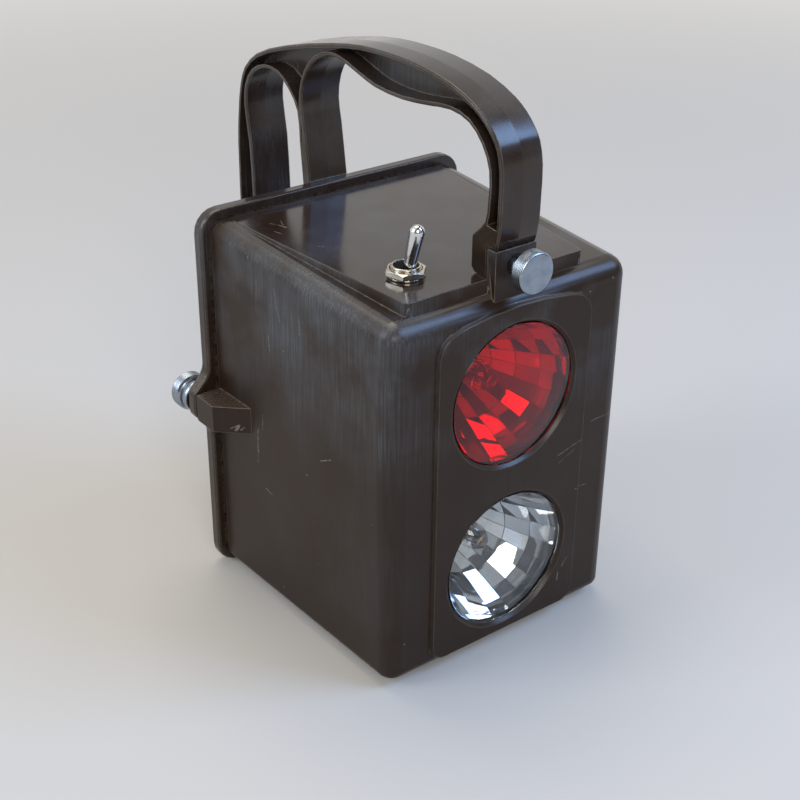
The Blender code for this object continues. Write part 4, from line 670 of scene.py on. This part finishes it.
def turnedMesh(name, profile, steps, groove=None, start=0.0):
    mesh = bpy.data.meshes.new(name)
    shape = bmesh.new()
    rows = []
    for radius, height in profile:
        if radius < 0.001 * mm:
            rows.append([shape.verts.new((0, 0, height))])
            continue
        row = []
        for step in range(steps):
            angle = start + math.tau * step / steps
            reach = radius - (groove(angle, radius, height) if groove else 0)
            row.append(shape.verts.new((reach * math.cos(angle), reach * math.sin(angle), height)))
        rows.append(row)
    for lower, upper in zip(rows, rows[1:]):
        for step in range(steps):
            following = (step + 1) % steps
            corners = [lower[step % len(lower)], lower[following % len(lower)],
                       upper[following % len(upper)], upper[step % len(upper)]]
            corners = list(dict.fromkeys(corners))
            if len(corners) > 2:
                shape.faces.new(corners)
    bmesh.ops.remove_doubles(shape, verts=shape.verts, dist=0.001 * mm)
    bmesh.ops.recalc_face_normals(shape, faces=shape.faces)
    shape.to_mesh(mesh)
    shape.free()
    return mesh


def alongLamp(low, high, front):
    # Local Z runs back through the middle of a box, from the front that is given
    middle = Matrix.Translation(((low[0] + high[0]) / 2, front, (low[2] + high[2]) / 2))
    return middle @ Matrix.Rotation(math.radians(-90), 4, "X")


def placePiece(name, data, material, matrix, body, replaced=()):
    piece = putInScene(name, data)
    data.materials.append(material)
    piece.matrix_world = matrix
    bpy.context.view_layer.update()
    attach(piece, body)
    if replaced:
        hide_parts(*replaced)
    return piece


def shadeSmooth(mesh, angle):
    mesh.shade_smooth()
    mesh.set_sharp_from_angle(angle=math.radians(angle))


# Thumb screws: faced, chamfered and diamond knurled, with a plain shoulder and a rolled thread

thumbScrew = {
    "headRadius": 8.2 * mm,
    "headLength": 6.1 * mm,
    "chamfer": 1.15 * mm,
    "knurlDepth": 0.14 * mm,
    "knurlCount": 84,
    "knurlPitch": 0.62 * mm,
    "knurlRows": 30,
    "facePip": 0.12 * mm,  # dimple that the facing tool leaves
    "pipFlat": 0.5 * mm,
    "pipRadius": 0.8 * mm,
    "neckLength": 0.5 * mm,
    "neckInset": 0.6 * mm,
    "shoulderBulge": 0.55 * mm,
    "frontShoulder": (4.7 * mm, 5.5 * mm),  # radius and length
    "sideShoulder": (7.0 * mm, 4.2 * mm),
    "shankRadius": 2.2 * mm,
    "threadPitch": 0.8 * mm,
    "threadDepth": 0.4 * mm,
    "tipLength": 0.8 * mm,
    "tipTaper": 0.55 * mm,
}


def thumbScrewProfile(look, collar, shoulder, shank):
    top = look["headLength"]
    radius = look["headRadius"]
    chamfer = look["chamfer"]
    flank = top - 2 * chamfer
    sunk = top - look["facePip"]
    face = [(0, sunk), (look["pipFlat"], sunk), (look["pipRadius"], top)]
    face += [(radius * share, top) for share in (0.25, 0.45, 0.65, 0.8)]
    arc = [(math.sin(turn) * chamfer, math.cos(turn) * chamfer) for turn in (0, 0.35, 0.7, 1.05, 1.35)]
    head = [(radius - chamfer + across, top - chamfer + along) for across, along in arc]
    knurls = look["knurlRows"]
    head += [(radius, chamfer + flank * (1 - row / knurls)) for row in range(knurls + 1)]
    neck = collar - look["neckInset"]
    under = look["neckLength"]
    bulge = look["shoulderBulge"]
    head += [(radius - 0.15 * mm, chamfer - 0.15 * mm), (radius - chamfer, 0), (neck, 0), (neck, -under)]
    head += [(collar - bulge * (2 * step / 10 - 1) ** 2, -under - (shoulder - under) * step / 10)
             for step in range(11)]
    head += [(look["shankRadius"], -shoulder)]
    threaded = shank - look["tipLength"]
    rows = round(threaded / (look["threadPitch"] / 6))
    thread = [(look["shankRadius"], -shoulder - threaded * row / rows) for row in range(1, rows + 1)]
    tip = [(look["shankRadius"] - look["tipTaper"], -shoulder - shank), (0, -shoulder - shank)]
    return face + head + thread + tip


def makeThumbScrews(finishes):
    look = thumbScrew

    def groove(angle, radius, height):
        if radius == look["headRadius"]:
            # Lines round the rim, crossed by shallower ones along it
            around = math.sin(angle * look["knurlCount"] / 2) ** 2
            along = math.sin(math.pi * height / look["knurlPitch"]) ** 2
            return look["knurlDepth"] * (0.75 * along + 0.25 * around) + 0.02 * mm
        if radius == look["shankRadius"] and height < -look["sideShoulder"][1] - 0.5 * mm:
            turn = (height / look["threadPitch"] - angle / math.tau) % 1
            return look["threadDepth"] * abs(2 * turn - 1)
        return 0

    for nodeName, body, (collar, shoulder), facing in (
            ("front_thumb_screw", "front_screw", look["frontShoulder"], 1),
            ("left_thumb_screw", "left_screw", look["sideShoulder"], -1),
            ("right_thumb_screw", "right_screw", look["sideShoulder"], -1)):
        low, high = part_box(nodeName)
        shank = high[1] - low[1] - look["headLength"] - shoulder
        profile = thumbScrewProfile(look, collar, shoulder, shank)
        mesh = turnedMesh("knurled_" + nodeName, profile, look["knurlCount"] * 3, groove)
        shadeSmooth(mesh, 38)
        base = low[1] + look["headLength"] if facing > 0 else high[1] - look["headLength"]
        centre = Vector(((low[0] + high[0]) / 2, base, (low[2] + high[2]) / 2))
        matrix = Matrix.Translation(centre) @ Matrix.Rotation(math.radians(90 * facing), 4, "X")
        placePiece("knurled_" + nodeName, mesh, finishes["aluminium"], matrix, body, [nodeName])
    print("thumb screws turned and knurled")


# Switch bushing: a threaded barrel with a countersunk mouth

switchBushing = {
    "radius": 6.0 * mm,
    "threadPitch": 1.0 * mm,
    "threadDepth": 0.42 * mm,
    "rowsEachTurn": 8,
    "lipRadius": 5.65 * mm,
    "lipHeight": 0.95 * mm,
    "mouth": 4.88 * mm,  # clears the lever at both ends of its throw
    "liner": 0.1 * mm,  # black collar that keeps dirt off the pivot
    "seat": 3.6 * mm,
    "pivotBelowTop": 7.6 * mm,
    "funnelDepth": 3.2 * mm,
    "funnelFoot": 0.4 * mm,
    # How the lip and the mouth are rounded: in from the radius, down from the top
    "lipRound": ((0, 0.35 * mm), (0.1 * mm, 0.12 * mm), (0.32 * mm, 0)),
    "mouthRound": ((-0.25 * mm, 0), (-0.06 * mm, 0.1 * mm), (0, 0.3 * mm)),
    "steps": 64,
}


def makeSwitchBushing(finishes):
    look = switchBushing
    low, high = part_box("switch_bushing")
    length = high[2] - low[2]
    radius = look["radius"]
    threaded = length - look["lipHeight"]
    lip = look["lipRadius"]
    seat = look["seat"]
    rows = round(threaded / look["threadPitch"] * look["rowsEachTurn"])
    profile = [(seat, 0)]
    profile += [(radius, threaded * row / rows) for row in range(rows)]
    profile += [(lip - 0.25 * mm, threaded), (lip, threaded + 0.2 * mm)]
    profile += [(lip - inward, length - down) for inward, down in look["lipRound"]]
    profile += [(look["mouth"] - inward, length - down) for inward, down in look["mouthRound"]]
    profile += [(seat + look["funnelFoot"], length - look["funnelDepth"]),
                (seat, length - look["pivotBelowTop"]), (seat, 0)]

    def groove(angle, reach, height):
        if reach != radius:
            return 0
        turn = (height / look["threadPitch"] - angle / math.tau) % 1
        fade = min(1, (threaded - height) / (0.3 * look["threadPitch"]))
        return look["threadDepth"] * fade * abs(2 * turn - 1)

    mesh = turnedMesh("threaded_switch_bushing", profile, look["steps"], groove)
    shadeSmooth(mesh, 40)
    matrix = Matrix.Translation(((low[0] + high[0]) / 2, (low[1] + high[1]) / 2, low[2]))
    placePiece("threaded_switch_bushing", mesh, finishes["nickel"], matrix, "case",
               ["switch_bushing"])

    # The liner lies just inside the funnel
    wall = look["liner"]
    top = (look["mouth"] - 0.03 * mm, length - 0.35 * mm)
    bottom = (seat + look["funnelFoot"] - 0.01 * mm, length - look["funnelDepth"])
    outline = [top, (top[0] - wall, top[1]), (bottom[0] - wall, bottom[1]), bottom, top]
    liner = turnedMesh("switch_liner", outline, look["steps"])
    shadeSmooth(liner, 40)
    placePiece("switch_liner", liner, finishes["rubber"], matrix, "case")
    print("switch bushing threaded")


# Reflectors: rings of flat mirrors, each set a hair off true as the real mould leaves them

facetedReflector = {
    "sectors": 22,
    "focus": 9.5 * mm,
    "rings": (29.3 * mm, 28.0 * mm, 22.8 * mm, 17.4 * mm, 12.3 * mm, 8.0 * mm),
    "neck": 6.3 * mm,
    "sheet": 1.2 * mm,
    "rimThickness": 1.0 * mm,
    "seamWidth": 0.16 * mm,
    "leastFacet": 1.0 * mm,  # a ring narrower than this stays plain
    "untrue": 1.7,  # degrees
    "thinnest": 0.4,  # silvering of the palest facet, where 1 is full
    "phase": {"clear": -46.0, "red": -37.0},  # degrees from the lantern's right toward its top
}


def makeReflector(colour, finishes):
    look = facetedReflector
    nodeName = colour + "_reflector"
    low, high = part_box(nodeName)
    rim = (high[0] - low[0]) / 2
    total = high[1] - low[1]
    sheet = look["sheet"]
    bowl = look["rings"][0] ** 2 / (4 * look["focus"])
    front = [(radius, bowl - radius ** 2 / (4 * look["focus"])) for radius in look["rings"]]
    neckStart = front[-1][1]
    outside = look["neck"] + sheet
    back = []
    for radius, depth in reversed(front[1:-1]):
        slope = Vector((radius / (2 * look["focus"]), 1.0)).normalized()
        back.append((radius + slope.x * sheet, depth + slope.y * sheet))
    rimBack = look["rimThickness"]
    profile = [(rim, rimBack), (rim, 0), *front, (look["neck"], neckStart), (look["neck"], total),
               (outside, total), (outside, neckStart + sheet), *back, (look["rings"][0] + sheet, rimBack),
               (rim, rimBack)]
    start = -math.radians(look["phase"][colour])
    mesh = turnedMesh("faceted_" + nodeName, profile, look["sectors"], start=start)

    def onFront(corner):
        here = Vector((math.hypot(corner.x, corner.y), corner.z))
        return any((here - Vector(ring)).length < 0.01 * mm for ring in front)

    # Narrow seams part the flat mirrors, and each mirror gets its own tilt and thickness of silver
    chance = random.Random(colour)
    shape = bmesh.new()
    shape.from_mesh(mesh)
    tone = shape.faces.layers.float.new("facetTone")
    mirrors = []
    for face in shape.faces:
        reach = [math.hypot(vertex.co.x, vertex.co.y) for vertex in face.verts]
        wide = max(reach) - min(reach) > look["leastFacet"]
        if wide and all(onFront(vertex.co) for vertex in face.verts):
            mirrors.append(face)
    bmesh.ops.inset_individual(shape, faces=mirrors, thickness=look["seamWidth"], depth=0)
    for face in mirrors:
        face[tone] = chance.uniform(look["thinnest"], 1)
        centre = face.calc_center_median()
        axis = Vector((chance.uniform(-1, 1), chance.uniform(-1, 1), chance.uniform(-1, 1)))
        tilt = Matrix.Rotation(math.radians(look["untrue"]) * chance.uniform(-1, 1), 3, axis)
        for vertex in face.verts:
            vertex.co = centre + tilt @ (vertex.co - centre)
    shape.to_mesh(mesh)
    shape.free()

    placePiece("faceted_" + nodeName, mesh, finishes["silver"], alongLamp(low, high, low[1]), "case",
               [nodeName])


# Bulbs: a thin blown envelope, two posts and a coiled filament

lampBulb = {
    "radius": 5.0 * mm,
    "wall": 0.45 * mm,
    "stem": 3.6 * mm,
    "length": 16.0 * mm,
    "cup": 4.0 * mm,
    "shoulder": 4.0 * mm,
    "postSpread": 1.5 * mm,
    "postLength": 6.0 * mm,
    "filamentDepth": 5.5 * mm,  # behind the top of the glass, at the reflector's focus
    "coilRadius": 0.22 * mm,
    "coilTurns": 9,
    "coilSteps": 10,  # to a turn
    "wireRadius": 0.09 * mm,
}


def bulbProfile(look, inset):
    radius = look["radius"] - inset
    stem = look["stem"] - inset
    dome = [(radius * math.cos(math.radians(angle)), look["radius"] - radius * math.sin(math.radians(angle)))
            for angle in range(0, 91, 10)]
    neck = look["length"] - look["cup"] - look["shoulder"]
    return [(stem, look["length"] - inset), (stem, look["length"] - look["cup"]),
            ((stem + radius) / 2, neck + look["shoulder"] * 0.55), (radius, neck), *dome]


def makeBulb(colour, finishes):
    look = lampBulb
    nodeName = colour + "_bulb"
    low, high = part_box(nodeName)
    matrix = alongLamp(low, high, low[1])
    outer = bulbProfile(look, 0)
    inner = bulbProfile(look, look["wall"])
    outline = [(0, outer[0][1]), *outer, *reversed(inner), (0, inner[0][1])]
    envelope = turnedMesh("blown_" + nodeName, outline, 40)
    shadeSmooth(envelope, 50)
    placePiece("blown_" + nodeName, envelope, finishes["bulbGlass"], matrix, "case", [nodeName])

    wire = bpy.data.curves.new("filament_" + nodeName, "CURVE")
    wire.dimensions = "3D"
    wire.bevel_depth = look["wireRadius"]
    wire.bevel_resolution = 2
    spread = look["postSpread"]
    depth = look["filamentDepth"]
    foot = depth + look["postLength"]
    coil = []
    steps = look["coilTurns"] * look["coilSteps"]
    for step in range(steps + 1):
        angle = math.tau * step / look["coilSteps"]
        coil.append((-spread + 2 * spread * step / steps, look["coilRadius"] * math.cos(angle),
                     depth + look["coilRadius"] * math.sin(angle)))
    posts = [[(side * spread, 0, depth), (side * spread * 0.8, 0, foot)] for side in (-1, 1)]
    for points in (coil, *posts):
        spline = wire.splines.new("POLY")
        spline.points.add(len(points) - 1)
        for point, corner in zip(spline.points, points):
            point.co = (*corner, 1)
    placePiece("filament_" + nodeName, wire, finishes["tungsten"], matrix, "case")


# Light, floor and backdrop

studio = {
    "floorColour": "#c6c3be",
    "backdrop": "#e9e7e4",
    "roomLight": "#b9bcc0",  # pale walls of the room behind the camera
    "roomDark": "#3b3a3b",  # doorway and shelves there, which give the mirrors their dark facets
    "ambient": 0.34,
    "ambientColour": "#f4f6fa",
    "floorReach": 6,  # metres
    "fadeStart": 0.45,  # metres out, where the floor starts to take the backdrop's colour
    "fadeEnd": 1.7,
    "lamps": (
        # name, place, aimed at, width, height, watts, colour
        ("windowBehindCamera", (-0.75, -1.35, 0.95), (0, 0, 0.1), 0.75, 0.75, 13.0, "#fffcf6"),
        ("skyWindow", (0.85, -0.85, 1.2), (0, -0.02, 0.12), 0.8, 0.7, 17.0, "#9fc5fc"),
        ("sideWindow", (-1.35, 0.45, 0.95), (0, 0, 0.1), 0.7, 0.9, 11.0, "#ebf1fb"),
        ("ceiling", (0.15, 0.6, 1.9), (0, 0, 0.1), 1.3, 1.1, 15.0, "#fff4e4"),
    ),
}


def seenDirectly(tree, rays):
    # 1 for the camera and for what it sees in mirrors and through the lenses, 0 for light on dull surfaces
    seen = rays.outputs["Is Camera Ray"]
    for kind in ("Is Glossy Ray", "Is Transmission Ray"):
        seen = addNode(tree, "Math", {"operation": "MAXIMUM"}, {0: seen, 1: rays.outputs[kind]})
    return seen


def makeFloor(look):
    mesh = bpy.data.meshes.new("floor")
    shape = bmesh.new()
    bmesh.ops.create_grid(shape, x_segments=1, y_segments=1, size=look["floorReach"])
    shape.to_mesh(mesh)
    shape.free()
    floor = putInScene("floor", mesh)
    material, tree, shader = startMaterial("paleFloor", {"Base Color": toLinear(look["floorColour"]),
                                                         "Roughness": 0.7})
    mesh.materials.append(material)
    place = addNode(tree, "TexCoord").outputs["Object"]
    reach = addNode(tree, "VectorMath", {"operation": "LENGTH"}, {0: place})
    far = addNode(tree, "MapRange", {"interpolation_type": "SMOOTHSTEP", "From Min": look["fadeStart"],
                                     "From Max": look["fadeEnd"]}, {"Value": reach.outputs["Value"]})
    watched = seenDirectly(tree, addNode(tree, "LightPath"))
    faded = addNode(tree, "Math", {"operation": "MULTIPLY"}, {0: far, 1: watched})
    pale = addNode(tree, "Emission", {"Color": toLinear(look["backdrop"])})
    blended = addNode(tree, "MixShader", None, {0: faded, 1: shader, 2: pale})
    tree.links.new(blended.outputs[0], tree.nodes["Material Output"].inputs["Surface"])


def makeLamps(look):
    for name, place, target, width, height, watts, colour in look["lamps"]:
        lampData = bpy.data.lights.new(name, "AREA")
        lampData.shape = "RECTANGLE"
        lampData.size = width
        lampData.size_y = height
        lampData.energy = watts
        lampData.color = toLinear(colour)[:3]
        lamp = putInScene(name, lampData)
        lamp.location = place
        lamp.rotation_euler = (Vector(target) - Vector(place)).to_track_quat("-Z", "Y").to_euler()


def makeBackdrop(look):
    # The camera sees one pale colour, and mirrors see a room of light and dark patches behind the camera
    world = bpy.data.worlds.new("studio")
    world.use_nodes = True
    bpy.context.scene.world = world
    tree = world.node_tree
    tree.nodes.clear()
    direction = addNode(tree, "TexCoord").outputs["Generated"]
    depth = addNode(tree, "SeparateXYZ", None, {0: direction})
    behind = addNode(tree, "MapRange", {"From Min": -0.3, "From Max": 0.0}, {"Value": depth.outputs["Y"]})
    cards = addNode(tree, "TexVoronoi", {"Scale": 4.5, "distance": "CHEBYCHEV", "Randomness": 0.8},
                    {"Vector": direction})
    card = addNode(tree, "SeparateXYZ", None, {0: cards.outputs["Color"]})
    shade = addNode(tree, "MapRange", {"From Min": 0.25, "From Max": 0.6}, {"Value": card.outputs["X"]})
    room = addNode(tree, "Mix", {"data_type": "RGBA", 6: toLinear(look["roomDark"]),
                                 7: toLinear(look["roomLight"])}, {0: shade})
    seen = addNode(tree, "Mix", {"data_type": "RGBA", 7: toLinear(look["backdrop"])}, {0: behind, 6: room})
    rays = addNode(tree, "LightPath")
    plain = addNode(tree, "Mix", {"data_type": "RGBA", 7: toLinear(look["backdrop"])},
                    {0: rays.outputs["Is Camera Ray"], 6: seen})
    shown = addNode(tree, "Background", {"Strength": 1.0}, {"Color": plain})
    ambient = addNode(tree, "Background", {"Strength": look["ambient"],
                                           "Color": toLinear(look["ambientColour"])})
    mixed = addNode(tree, "MixShader", None, {0: seenDirectly(tree, rays), 1: ambient, 2: shown})
    addNode(tree, "OutputWorld", None, {"Surface": mixed})


def makeStudio(look):
    makeFloor(look)
    makeLamps(look)
    makeBackdrop(look)
    bpy.context.scene.view_settings.view_transform = "Standard"
    print("studio lit")


setCamera(photoView)
makeStudio(studio)
finishes = makeMaterials()
finishCarriedOver(finishes)
makeCase(finishes)
makeSmoothCopies(finishes)
makeThumbScrews(finishes)
makeSwitchBushing(finishes)
for lampColour in ("clear", "red"):
    makeLens(lampColour, finishes)
    makeReflector(lampColour, finishes)
    makeBulb(lampColour, finishes)
print("lamps made")
